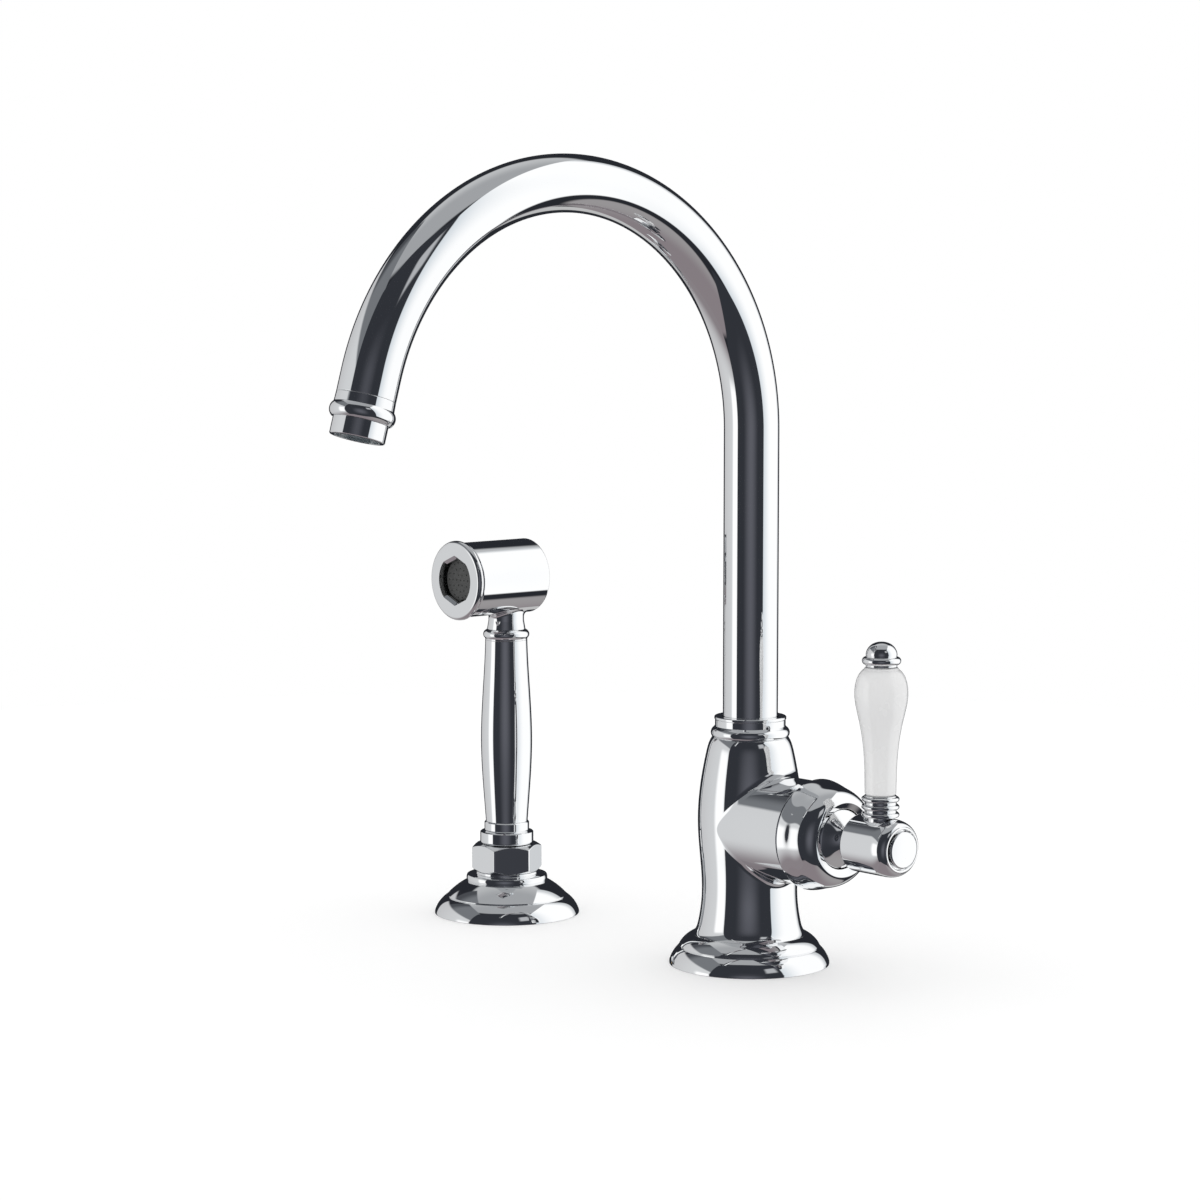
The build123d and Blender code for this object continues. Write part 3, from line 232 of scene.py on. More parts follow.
def curve_to(*through, leaving, arriving, steps=16):
    """A smooth cut through the given points, leaving and arriving in the given directions."""
    def run(start):
        knots = np.vstack((start, np.array(through, float)))
        chord = np.linalg.norm(np.diff(knots, axis=0), axis=1)
        count = len(knots)
        system = np.eye(count)
        wanted = np.zeros((count, 2))
        wanted[0] = np.array(leaving) / np.linalg.norm(leaving)
        wanted[-1] = np.array(arriving) / np.linalg.norm(arriving)
        for i in range(1, count - 1):
            before, after = chord[i - 1], chord[i]
            system[i, i - 1:i + 2] = after, 2 * (before + after), before
            wanted[i] = 3 * (after / before * (knots[i] - knots[i - 1])
                             + before / after * (knots[i + 1] - knots[i]))
        slopes = np.linalg.solve(system, wanted)
        points, ways = [], []
        for i in range(count - 1):
            t = np.linspace(0.0, 1.0, steps + 1)[:, None]
            if i:
                t = t[1:]
            a, b, m, n = knots[i], knots[i + 1], slopes[i] * chord[i], slopes[i + 1] * chord[i]
            points.append((2 * t ** 3 - 3 * t ** 2 + 1) * a + (t ** 3 - 2 * t ** 2 + t) * m
                          + (3 * t ** 2 - 2 * t ** 3) * b + (t ** 3 - t ** 2) * n)
            ways.append((6 * t ** 2 - 6 * t) * (a - b) + (3 * t ** 2 - 4 * t + 1) * m
                        + (3 * t ** 2 - 2 * t) * n)
        ways = np.vstack(ways)
        return np.vstack(points), ways / np.linalg.norm(ways, axis=1)[:, None]
    return run


def trimmed(points, ways, off_start, off_end):
    """A run without its first and last bit of length."""
    length = np.concatenate(((0.0,), np.cumsum(np.linalg.norm(np.diff(points, axis=0), axis=1))))
    low, high = off_start, length[-1] - off_end
    inside = (length > low + 1e-6) & (length < high - 1e-6)
    at = np.concatenate(((low,), length[inside], (high,)))
    cut = np.stack([np.interp(at, length, points[:, k]) for k in (0, 1)], axis=1)
    way = np.stack([np.interp(at, length, ways[:, k]) for k in (0, 1)], axis=1)
    return cut, way / np.linalg.norm(way, axis=1)[:, None]


def outline(start, *cuts, soft=0.22, closed=True):
    """Join the cuts into one half outline and ease its corners, as polishing does before plating."""
    runs, here = [], np.array(start, float)
    for cut in cuts:
        runs.append(cut(here))
        here = runs[-1][0][-1]
    if closed and np.linalg.norm(here - start) > 1e-6 and (here[0] > 1e-6 or start[0] > 1e-6):
        runs.append(line_to(*start)(here))
    lengths = [np.linalg.norm(np.diff(p, axis=0), axis=1).sum() for p, _ in runs]
    eased = [[0.0, 0.0] for _ in runs]
    corners = {}
    for i in range(len(runs)):
        j = (i + 1) % len(runs)
        if (j == 0 and not closed) or runs[i][0][-1][0] < 1e-6:
            continue
        turn = math.acos(np.clip(runs[i][1][-1] @ runs[j][1][0], -1.0, 1.0))
        if soft and turn > math.radians(5.0):
            trim = min(soft * math.tan(min(turn, 2.8) / 2), 0.42 * lengths[i], 0.42 * lengths[j])
            eased[i][1] = eased[j][0] = trim
            corners[i] = turn
    points, ways = [], []
    for i, (p, w) in enumerate(runs):
        p, w = trimmed(p, w, *eased[i])
        points.append(p)
        ways.append(w)
    line, way = [], []
    for i, (p, w) in enumerate(zip(points, ways)):
        drop = 1 if line and i - 1 not in corners else 0
        line.append(p[drop:])
        way.append(w[drop:])
        if i in corners:
            j = (i + 1) % len(runs)
            a, b = p[-1], points[j][0]
            da, db = w[-1], ways[j][0]
            cross = da[0] * db[1] - da[1] * db[0]
            gap = b - a
            if abs(cross) > 1e-3:
                reach = (gap[0] * db[1] - gap[1] * db[0]) / cross
            else:
                reach = 0.5 * np.linalg.norm(gap)
            knee = a + da * reach
            t = np.linspace(0.0, 1.0, 2 + int(corners[i] / math.radians(15.0)))[1:-1, None]
            line.append((1 - t) ** 2 * a + 2 * t * (1 - t) * knee + t ** 2 * b)
            bent = 2 * (1 - t) * (knee - a) + 2 * t * (b - knee)
            way.append(bent / np.linalg.norm(bent, axis=1)[:, None])
    line, way = np.vstack(line), np.vstack(way)
    if closed and line[0][0] > 1e-6:
        if np.linalg.norm(line[0] - line[-1]) > 1e-6:
            line, way = np.vstack((line, line[:1])), np.vstack((way, way[:1]))
    return line, way


def spun(line, angles=np.linspace(0.0, 2 * math.pi, 129)):
    """Turn a half outline about its axis: the surface's points and its true normals."""
    points, ways = line
    c, s = np.cos(angles), np.sin(angles)
    r, z = points[:, :1], points[:, 1:]
    surface = np.stack((r * c, r * s, np.repeat(z, len(angles), axis=1)), axis=2)
    out, up = ways[:, 1:], -ways[:, :1]
    normal = np.stack((out * c, out * s, np.repeat(up, len(angles), axis=1)), axis=2)
    return surface, normal


def placed(origin, along, across):
    """The place of a turned piece: its foot in millimetres, its axis and the way its side faces."""
    z, x = Vector(along).normalized(), Vector(across).normalized()
    y = z.cross(x)
    turn = Matrix((x, y, z)).transposed().to_4x4()
    return Matrix.Translation(Vector(origin) / 1000) @ turn


def dress(piece, known):
    """Give every corner of the piece the true normal of its surface; cut faces stay flat."""
    mesh = piece.data
    points, normals = known
    tree = kdtree.KDTree(len(points))
    for i, p in enumerate(points):
        tree.insert(p, i)
    tree.balance()
    nearest = [tree.find(v.co) for v in mesh.vertices]
    corner_normals = [None] * len(mesh.loops)
    for face in mesh.polygons:
        face.use_smooth = True
        for k in face.loop_indices:
            _, i, gap = nearest[mesh.loops[k].vertex_index]
            true = normals[i]
            fits = gap < 2e-6 and true.dot(face.normal) > 0.6
            corner_normals[k] = true if fits else face.normal.copy()
    mesh.normals_split_custom_set(corner_normals)


def skin(name, patches, place=Matrix.Identity(4)):
    """Join patches of surface, given in millimetres about a piece's own axis, into one closed mesh."""
    turn = place.to_3x3()
    points, normals, faces = [], [], []
    for surface, normal in patches:
        rows, columns = surface.shape[:2]
        ids = len(points) + np.arange(rows * columns).reshape(rows, columns)
        quads = np.stack((ids[:-1, :-1], ids[:-1, 1:], ids[1:, 1:], ids[1:, :-1]), axis=2)
        gap = np.abs(np.diff(surface, axis=1)).sum(axis=2) > 1e-6
        faces.extend(quads[gap[:-1] | gap[1:]].tolist())
        points.extend(place @ Vector(p) for p in (surface.reshape(-1, 3) / 1000).tolist())
        normals.extend((turn @ Vector(n)).normalized() for n in normal.reshape(-1, 3).tolist())
    mesh = bpy.data.meshes.new(name)
    mesh.from_pydata(points, [], faces)
    joined = bmesh.new()
    joined.from_mesh(mesh)
    bmesh.ops.remove_doubles(joined, verts=joined.verts, dist=2e-6)
    joined.to_mesh(mesh)
    joined.free()
    piece = bpy.data.objects.new(name, mesh)
    bpy.context.scene.collection.objects.link(piece)
    dress(piece, (points, normals))
    return piece, (points, normals)


def turned(name, line, place=Matrix.Identity(4)):
    """A piece turned from one half outline."""
    return skin(name, [spun(line)], place)[0]


def mounted(piece, body, finish, slot_name, *nodes):
    """Finish a piece and fix it to its body, in the place of the solids that it stands for."""
    piece.data.materials.clear()
    piece.data.materials.append(finish)
    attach(piece, body)
    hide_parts(*nodes)
    return piece


def finish_named(name):
    """A new finish with its shader and a texture space that is fixed to the piece."""
    finish = bpy.data.materials.new(name)
    finish.use_nodes = True
    nodes, links = finish.node_tree.nodes, finish.node_tree.links
    space = nodes.new("ShaderNodeTexCoord")

    def add(kind, **settings):
        node = nodes.new(kind)
        for key, value in settings.items():
            if key in node.inputs:
                node.inputs[key].default_value = value
            else:
                setattr(node, key, value)
        return node

    def grain(scale, detail=3.0, stretch=None):
        noise = add("ShaderNodeTexNoise", Scale=scale, Detail=detail)
        if stretch:
            mapping = add("ShaderNodeMapping")
            mapping.inputs["Scale"].default_value = stretch
            links.new(space.outputs["Object"], mapping.inputs["Vector"])
            links.new(mapping.outputs["Vector"], noise.inputs["Vector"])
        else:
            links.new(space.outputs["Object"], noise.inputs["Vector"])
        return noise.outputs["Fac"]

    def spread(value, socket, low, high):
        span = add("ShaderNodeMapRange")
        span.inputs["From Min"].default_value = 0.3
        span.inputs["From Max"].default_value = 0.7
        span.inputs["To Min"].default_value = low
        span.inputs["To Max"].default_value = high
        links.new(value, span.inputs["Value"])
        links.new(span.outputs["Result"], socket)

    def tint(value, socket, low, high):
        ramp = add("ShaderNodeValToRGB")
        ramp.color_ramp.elements[0].position = 0.3
        ramp.color_ramp.elements[1].position = 0.7
        ramp.color_ramp.elements[0].color = (*low, 1.0)
        ramp.color_ramp.elements[1].color = (*high, 1.0)
        links.new(value, ramp.inputs["Fac"])
        links.new(ramp.outputs["Color"], socket)

    def relief(value, socket, depth, strength=1.0):
        bump = add("ShaderNodeBump", Strength=strength, Distance=depth)
        links.new(value, bump.inputs["Height"])
        links.new(bump.outputs["Normal"], socket)

    finish.node_tree.nodes["Principled BSDF"].inputs["IOR"].default_value = 1.5
    return finish, finish.node_tree.nodes["Principled BSDF"], grain, spread, tint, relief


chrome, shader, grain, spread, tint, relief = finish_named("polished_chrome_plate")
shader.inputs["Metallic"].default_value = 1.0
tint(grain(9.0), shader.inputs["Base Color"], (0.86, 0.87, 0.88), (0.90, 0.905, 0.91))
spread(grain(60.0), shader.inputs["Roughness"], 0.012, 0.03)
relief(grain(900.0, 2.0), shader.inputs["Normal"], 0.0000004)

flange = turned("polished_base_flange", outline(
    (20.02, 0.0), line_to(27.2, 0.0), line_to(27.2, 1.5), line_to(32.2, 1.5), line_to(32.2, 0.0),
    line_to(35.1, 0.0), line_to(35.1, 1.2), bulge_to(0.5, 31.1, 7.5), line_to(30.4, 7.8),
    line_to(30.8, 8.3), bulge_to(0.65, 25.0, 13.4), line_to(20.02, 13.4)))
mounted(flange, "root", chrome, "chrome_plate", "base_flange")

# ---- Body ------------------------------------------------------------------------------------------
# Waisted brass casting with a stub for the valve, machined, polished and chromium plated.
# A rolled fillet joins the stub to the body, and the stub's end is eased to a fine groove under the
# valve's cover; the spout turns in the bore at the top.


def rolled_saddle(profile, stub_r, stub_z, stub_end, roll, around=288, across=96, rows=36):
    """The skin of a turned body with a round stub growing out of its +X side and a rolled fillet between.

    Returns the patches and the angles of the skin's rims: low and high about the body, and about the stub.
    """
    line, ways = profile
    length = np.concatenate(((0.0,), np.cumsum(np.linalg.norm(np.diff(line, axis=0), axis=1))))
    fine = np.linspace(0.0, length[-1], 6000)
    pr, pz = (np.interp(fine, length, line[:, k]) for k in (0, 1))
    wr, wz = (np.interp(fine, length, ways[:, k]) for k in (0, 1))
    low, high = pz[0], pz[-1]

    phi = 2 * math.pi * np.arange(around + 1) / around
    cy, cz = (stub_r + roll) * np.cos(phi), stub_z + (stub_r + roll) * np.sin(phi)
    near = np.sqrt(np.maximum(np.interp(cz, pz, pr) ** 2 - cy ** 2, 0.0))
    far = np.full_like(near, stub_end)
    for _ in range(40):
        cx = (near + far) / 2
        rho = np.hypot(cx, cy)
        gap = np.sqrt(((rho[:, None] - pr) ** 2 + (cz[:, None] - pz) ** 2).min(axis=1))
        near = np.where(gap < roll, cx, near)
        far = np.where(gap < roll, far, cx)
    rho = np.hypot(cx, cy)
    touch = ((rho[:, None] - pr) ** 2 + (cz[:, None] - pz) ** 2).argmin(axis=1)
    tr, tz = pr[touch], pz[touch]
    theta = np.arctan2(cy, cx)
    centre = np.stack((cx, cy, cz), axis=1)
    body_point = np.stack((tr * np.cos(theta), tr * np.sin(theta), tz), axis=1)
    body_normal = (centre - body_point) / roll
    body_normal /= np.linalg.norm(body_normal, axis=1)[:, None]
    stub_normal = np.stack((np.zeros_like(phi), np.cos(phi), np.sin(phi)), axis=1)

    angle = np.arccos(np.clip((body_normal * stub_normal).sum(axis=1), -1.0, 1.0))[:, None]
    fillet_points, fillet_normals = [], []
    for t in np.linspace(0.0, 1.0, 13):
        n = (np.sin((1 - t) * angle) * stub_normal + np.sin(t * angle) * body_normal) / np.sin(angle)
        fillet_points.append(centre - roll * n)
        fillet_normals.append(n)
    stub_y, stub_up = stub_r * np.cos(phi), stub_z + stub_r * np.sin(phi)
    stub_rows = [np.stack((cx + (stub_end - cx) * (1 - t), stub_y, stub_up), axis=1)
                 for t in np.linspace(0.0, 1.0, 7)]

    side = (around - 2 * across) // 2
    index = np.arange(around + 1)
    edge_theta, edge_z = np.zeros(around + 1), np.zeros(around + 1)
    for i in index:
        k = (i + side // 2) % around
        if k < side:
            edge_theta[i], edge_z[i] = math.pi, low + (high - low) * k / side
        elif k < side + across:
            edge_theta[i], edge_z[i] = math.pi * (1 - 2 * (k - side) / across), high
        elif k < 2 * side + across:
            edge_theta[i], edge_z[i] = -math.pi, high - (high - low) * (k - side - across) / side
        else:
            edge_theta[i], edge_z[i] = math.pi * (2 * (k - 2 * side - across) / across - 1), low
    body_rows, body_normals = [], []
    for t in np.linspace(0.0, 1.0, rows + 1):
        th, z = theta + (edge_theta - theta) * t, tz + (edge_z - tz) * t
        r = np.interp(z, pz, pr)
        out, up = np.interp(z, pz, wz), -np.interp(z, pz, wr)
        body_rows.append(np.stack((r * np.cos(th), r * np.sin(th), z), axis=1))
        body_normals.append(np.stack((out * np.cos(th), out * np.sin(th), up), axis=1))
    surface = np.array(stub_rows + fillet_points[1:] + body_rows[1:])[::-1]
    normal = np.array([stub_normal] * len(stub_rows) + fillet_normals[1:] + body_normals[1:])[::-1]
    return (surface, normal), np.linspace(-math.pi, math.pi, across + 1), phi


body_top = 100.2
valve_axis = 62.4
stub_r, stub_end, stub_roll = 22.5, 39.5, 5.0
body_side = outline(
    (25.0, 13.4),
    curve_to((22.3, 19.2), (20.9, 31.0), (22.7, 61.0), (21.4, 81.3), (19.1, 93.6), (16.6, body_top),
             leaving=(-1.1, 0.8), arriving=(-0.75, 1.0), steps=24), closed=False)
rim = 0.25
side_line, side_ways = trimmed(*body_side, rim, rim)
body_skin, rim_angles, stub_angles = rolled_saddle(
    (side_line, side_ways), stub_r, valve_axis, stub_end - rim, stub_roll)


def eased_rim(points, ways, corner, *cuts, soft=0.22):
    """The rest of an outline after a skin's rim: round the eased corner and on along the cuts."""
    lead = lambda start: (np.array((points, corner)), np.repeat(ways[None], 2, axis=0))
    return outline(points, lead, *cuts, soft=soft, closed=False)


top_rim = eased_rim(side_line[-1], side_ways[-1], body_side[0][-1], line_to(14.6, body_top),
                    line_to(14.6, 75.0), line_to(9.0, 75.0), line_to(9.0, 63.0), line_to(0.0, 63.0))
foot_line, foot_ways = eased_rim(side_line[0], -side_ways[0], body_side[0][0], line_to(20.0, 13.4),
                                 line_to(20.0, 1.0), line_to(16.52, 1.0), line_to(16.52, 10.0),
                                 line_to(0.0, 10.0))
stub_rim = eased_rim(np.array((stub_r, stub_end - rim)), np.array((0.0, 1.0)), np.array((stub_r, stub_end)),
                     line_to(22.0, 40.0), line_to(22.0, 41.5), line_to(20.6, 41.5), line_to(20.6, 43.8),
                     line_to(18.4, 43.8), line_to(18.4, 35.5), line_to(17.52, 35.5), line_to(17.52, 18.0),
                     line_to(0.0, 18.0))


def about_stub(patch, stub_z):
    """Turn a patch that is drawn about +Z to stand on the stub's axis instead."""
    surface, normal = patch
    turn = lambda v: np.stack((v[..., 2], v[..., 0], v[..., 1]), axis=-1)
    surface = turn(surface)
    surface[..., 2] += stub_z
    return surface, turn(normal)


foot_patch = spun((foot_line[::-1], -foot_ways[::-1]), rim_angles)


def carved(piece, known, cutter, kind="DIFFERENCE"):
    """Cut one solid from the other, or join them, and keep the true normals of what is left."""
    step = piece.modifiers.new("cut", "BOOLEAN")
    step.operation = kind
    step.solver = "EXACT"
    step.object = cutter
    graph = bpy.context.evaluated_depsgraph_get()
    result = bpy.data.meshes.new_from_object(piece.evaluated_get(graph))
    piece.modifiers.clear()
    piece.data = result
    bpy.data.objects.remove(cutter)
    dress(piece, known)


def drill(r, low, high, place):
    """A plain round cutter."""
    side = outline((0.0, low), line_to(r, low), line_to(r, high), line_to(0.0, high), soft=0.0)
    return turned("drill", side, place)


body, known = skin("polished_faucet_body", [
    body_skin, spun(top_rim, rim_angles), foot_patch, about_stub(spun(stub_rim, stub_angles), valve_axis)])
for x, y in ((4.9, -6.2), (4.9, 6.2), (-7.9, 0.0)):
    carved(body, known, drill(4.5, 9.0, 22.0, placed((x, y, 0.0), (0, 0, 1), (1, 0, 0))))
mounted(body, "root", chrome, "chrome_plate", "faucet_body")

# ---- Fixing under the worktop ----------------------------------------------------------------------
# A threaded brass shank goes through the worktop; a rubber seal, a steel washer and a hexagon locknut
# clamp it from below, and rubber rings seal the feet of both flanges above.


def coated(finish, *names):
    """Give these solids of the frame their finish."""
    for name in names:
        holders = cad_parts[name].material_slots
        for holder in holders:
            holder.material = finish


brass, shader, grain, spread, tint, relief = finish_named("machined_brass")
shader.inputs["Metallic"].default_value = 1.0
tint(grain(40.0), shader.inputs["Base Color"], (0.62, 0.44, 0.20), (0.76, 0.57, 0.29))
spread(grain(300.0), shader.inputs["Roughness"], 0.24, 0.38)
relief(grain(60.0, 4.0, (1.0, 1.0, 60.0)), shader.inputs["Normal"], 0.00004, 0.5)
coated(brass, "mounting_shank", "shank_locknut", "diverter_seat", "diverter_plunger", "cartridge_nut",
       "spout_foot", "hose_connector", "swivel_nut", "holder_tube", "holder_locknut", "valve_seat")

rubber, shader, grain, spread, tint, relief = finish_named("black_rubber")
tint(grain(120.0), shader.inputs["Base Color"], (0.020, 0.021, 0.023), (0.035, 0.036, 0.038))
spread(grain(500.0), shader.inputs["Roughness"], 0.55, 0.75)
relief(grain(2500.0, 2.0), shader.inputs["Normal"], 0.00002, 0.4)
coated(rubber, "deck_gaskets", "clamp_seals", "spout_o_rings", "aerator_gasket", "diverter_seal",
       "cartridge_seals", "swivel_o_ring", "button_o_ring", "valve_washer")

steel, shader, grain, spread, tint, relief = finish_named("turned_stainless")
shader.inputs["Metallic"].default_value = 1.0
tint(grain(50.0), shader.inputs["Base Color"], (0.50, 0.50, 0.51), (0.62, 0.62, 0.63))
spread(grain(400.0, 3.0, (1.0, 1.0, 8.0)), shader.inputs["Roughness"], 0.20, 0.36)
relief(grain(900.0, 2.0, (1.0, 1.0, 12.0)), shader.inputs["Normal"], 0.00001, 0.4)
coated(steel, "clamp_washers", "lever_stem", "pivot_pin", "tie_rod", "valve_stem", "button_spring",
       "barrel_grub_screw", "collar_grub_screw")

# The worktop hides these from the polished pieces above it.
for name in ("mounting_shank", "shank_locknut", "clamp_seals", "clamp_washers", "holder_tube",
             "holder_locknut"):
    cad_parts[name].visible_glossy = False

# ---- Spout collar ----------------------------------------------------------------------------------
# Beaded ring screwed into the body's top round the foot of the spout, turned and chromium plated.
# A small socket grub screw in its side runs in the spout's groove and keeps the spout down.
collar, known = skin("polished_spout_collar", [spun(outline(
    (12.3, 94.2), line_to(14.58, 94.2), line_to(14.58, body_top), line_to(16.4, body_top),
    bulge_to(0.97, 16.1, 104.4), line_to(15.4, 105.1), line_to(15.4, 107.9), line_to(15.7, 108.2),
    line_to(15.7, 109.1), line_to(15.4, 109.4), line_to(12.3, 109.4)))])
grub_turn = math.radians(-14.0)
grub_place = placed((0.0, 0.0, 105.5), (math.cos(grub_turn), math.sin(grub_turn), 0.0), (0, 0, 1))
carved(collar, known, drill(1.27, 11.0, 18.0, grub_place))
mounted(collar, "root", chrome, "chrome_plate", "spout_collar")

# ---- Spout -----------------------------------------------------------------------------------------
# Brass tube of 24 mm bent to a gooseneck on a mandrel, polished and chromium plated.
# It turns in the body on two O-rings; a short straight end carries the outlet.
arch_r, arch_foot, arch_turn = 104.8, 233.9, math.radians(164.0)
arch_end = arch_foot + arch_r * arch_turn
tube_end = arch_end + 9.0


def bent(patch):
    """Bend a patch of straight tube round the gooseneck."""
    surface, normal = patch
    x, y, s = surface[..., 0], surface[..., 1], surface[..., 2]
    turn = np.clip((s - arch_foot) / arch_r, 0.0, arch_turn)
    on = s - arch_foot - arch_r * turn
    c, k = np.cos(turn), np.sin(turn)
    reach = arch_r + y
    surface = np.stack((x, -arch_r + reach * c - on * k, arch_foot + reach * k + on * c), axis=-1)
    nx, ny, nz = normal[..., 0], normal[..., 1], normal[..., 2]
    return surface, np.stack((nx, ny * c - nz * k, ny * k + nz * c), axis=-1)


tube_r, bore_r = 12.0, 10.5
tube_line = outline(
    (bore_r, 80.3), line_to(tube_r, 80.3), line_to(tube_r, 104.4), line_to(11.35, 104.4),
    line_to(11.35, 106.6), line_to(tube_r, 106.6), line_to(tube_r, arch_foot, 8),
    line_to(tube_r, arch_end, 110), line_to(tube_r, tube_end, 3), line_to(bore_r, tube_end),
    line_to(bore_r, arch_end, 3), line_to(bore_r, arch_foot, 60), line_to(bore_r, 80.3), soft=0.25)
spout, known = skin("polished_spout_tube", [bent(spun(tube_line))])
mounted(spout, "spout", chrome, "chrome_plate", "spout_tube")

# ---- Outlet ----------------------------------------------------------------------------------------
# A beaded ring is screwed to the spout's end, and the aerator into that: a plated housing round a
# moulded insert with fine holes, so that the water falls soft.
outlet = placed((0.0, -arch_r + arch_r * math.cos(arch_turn), arch_foot + arch_r * math.sin(arch_turn)),
                (0.0, -math.sin(arch_turn), math.cos(arch_turn)), (1, 0, 0))
ferrule = turned("polished_tip_ferrule", outline(
    (8.98, 4.0), line_to(10.48, 4.0), line_to(10.48, 9.0), line_to(12.0, 9.0), line_to(12.15, 12.9),
    bulge_to(1.28, 11.9, 18.7), line_to(10.4, 18.7), line_to(10.4, 14.3), line_to(8.98, 14.3)), outlet)
mounted(ferrule, "spout", chrome, "chrome_plate", "tip_ferrule")
housing = turned("polished_aerator_housing", outline(
    (9.5, 15.1), line_to(10.38, 15.1), line_to(10.38, 18.72), line_to(11.15, 18.72), line_to(11.15, 25.5),
    line_to(10.85, 25.8), line_to(9.5, 25.8), soft=0.15), outlet)
mounted(housing, "spout", chrome, "chrome_plate", "aerator_housing")

slate, shader, grain, spread, tint, relief = finish_named("slate_plastic")
tint(grain(150.0), shader.inputs["Base Color"], (0.085, 0.11, 0.125), (0.12, 0.15, 0.165))
spread(grain(400.0), shader.inputs["Roughness"], 0.35, 0.5)
relief(grain(1800.0, 2.0), shader.inputs["Normal"], 0.00001, 0.5)
coated(slate, "aerator_insert")

# ---- Valve cover and cartridge ---------------------------------------------------------------------
# Domed brass cover screwed on the stub over the ceramic cartridge. Its hollow is a ball about the
# lever's pivot, so that the bell on the lever swings under its lip.
valve = placed((0.0, 0.0, valve_axis), (1, 0, 0), (0, 1, 0))
pivot = 44.0
cover = turned("polished_valve_cover", outline(
    (20.62, 41.5), line_to(23.55, 41.5), bulge_to(0.1, 24.0, 42.0),
    curve_to((22.4, 48.5), (20.0, 55.4), (15.6, 58.5), leaving=(-0.1, 1.0), arriving=(-1.0, 0.15), steps=30),
    line_to(12.95, 57.2), ball_to(pivot, 18.49, 43.8), line_to(20.62, 43.8)), valve)
mounted(cover, "root", chrome, "chrome_plate", "valve_cover")

plastic, shader, grain, spread, tint, relief = finish_named("moulded_plastic")
tint(grain(70.0), shader.inputs["Base Color"], (0.44, 0.45, 0.46), (0.52, 0.53, 0.54))
spread(grain(350.0), shader.inputs["Roughness"], 0.42, 0.56)
relief(grain(1500.0, 2.0), shader.inputs["Normal"], 0.00001, 0.5)
coated(plastic, "cartridge_housing", "disc_carrier", "cartridge_rotor", "handle_washers", "guide_bush",
       "waterway_tube", "flow_plate")

ceramic, shader, grain, spread, tint, relief = finish_named("lapped_ceramic")
tint(grain(200.0), shader.inputs["Base Color"], (0.76, 0.75, 0.72), (0.83, 0.82, 0.79))
spread(grain(700.0), shader.inputs["Roughness"], 0.14, 0.24)
coated(ceramic, "fixed_disc", "moving_disc")

# ---- Lever bell and knob ---------------------------------------------------------------------------
# A flared bell on the steel stem swings under the cover. The turned knob is clamped on the stem by a
# grub screw from below, and a crowned cap is pressed into its end.
bell = turned("polished_stem_bell", outline(
    (3.22, 54.0), line_to(5.4, 54.0), line_to(5.4, 57.2), line_to(10.026, 57.534),
    ball_to(pivot, 15.724, 50.036), line_to(16.844, 50.466), ball_to(pivot, 12.3, 57.2),
    curve_to((7.6, 60.35), (4.6, 64.8), leaving=(-1.0, 0.67), arriving=(0.0, 1.0)), line_to(4.6, 67.2),
    line_to(3.22, 67.2), soft=0.3), valve)
mounted(bell, "lever", chrome, "chrome_plate", "stem_bell")
lever_x = 79.5
lever = placed((lever_x, 0.0, valve_axis), (0, 0, 1), (1, 0, 0))
knob, known = skin("polished_lever_barrel", [spun(outline(
    (3.22, 67.2), line_to(11.1, 67.2), bulge_to(0.35, 12.3, 68.4), line_to(12.3, 85.0),
    curve_to((9.8, 92.2), leaving=(0.0, 1.0), arriving=(-1.0, 0.55), steps=30), line_to(9.5, 92.6),
    line_to(8.8, 92.6), line_to(8.6, 92.4), line_to(8.6, 90.4), line_to(6.8, 90.4), line_to(6.8, 87.2),
    line_to(0.0, 87.2), line_to(0.0, 74.3), line_to(3.22, 74.3)))], valve)
carved(knob, known, drill(6.02, 10.2, 14.0, lever))
carved(knob, known, drill(2.02, 3.3, 14.0, placed((71.2, 0.0, valve_axis), (0, 0, -1), (1, 0, 0))))
mounted(knob, "lever", chrome, "chrome_plate", "lever_barrel")
cap = turned("polished_end_cap", outline(
    (0.0, 87.22), line_to(6.78, 87.22), line_to(6.78, 90.42), line_to(7.8, 90.42), line_to(7.8, 93.2),
    bulge_to(0.19, 6.8, 93.7), ball_to(47.71, 0.0, 94.2)), valve)
mounted(cap, "lever", chrome, "chrome_plate", "end_cap")

# ---- Lever grip ------------------------------------------------------------------------------------
# White porcelain grip, slip cast and glazed. A steel rod clamps it between a ferrule with three beads
# and a turned finial, both plated brass, with thin nylon washers against the glaze.
beads = [line_to(6.0, 10.2), line_to(6.0, 12.35)]
for middle in (13.5, 16.8, 20.1):
    beads += [line_to(6.8, middle - 1.05), bulge_to(1.2, 6.8, middle + 1.05)]
ferrule = turned("polished_lever_ferrule", outline(
    (2.32, 10.2), *beads, line_to(6.8, 21.6), line_to(2.32, 21.6)), lever)
mounted(ferrule, "lever", chrome, "chrome_plate", "lever_ferrule")

porcelain, shader, grain, spread, tint, relief = finish_named("glazed_porcelain")
tint(grain(30.0), shader.inputs["Base Color"], (0.80, 0.80, 0.805), (0.83, 0.83, 0.83))
spread(grain(90.0), shader.inputs["Roughness"], 0.22, 0.3)
relief(grain(110.0, 2.0), shader.inputs["Normal"], 0.00002, 0.3)
shader.inputs["Coat Weight"].default_value = 0.6
shader.inputs["Coat Roughness"].default_value = 0.08
grip_place = placed((lever_x, 0.0, 0.0), (0, 0, 1), (1, 0, 0))
grip = turned("glazed_porcelain_handle", outline(
    (2.7, 84.4), line_to(6.3, 84.4), line_to(6.6, 84.8),
    curve_to((6.95, 98.39), (9.15, 114.9), (11.1, 129.58), (7.5, 137.2), leaving=(0.02, 1.0),
             arriving=(-1.0, 0.75)),
    line_to(6.9, 138.0), line_to(2.7, 138.0)), grip_place)
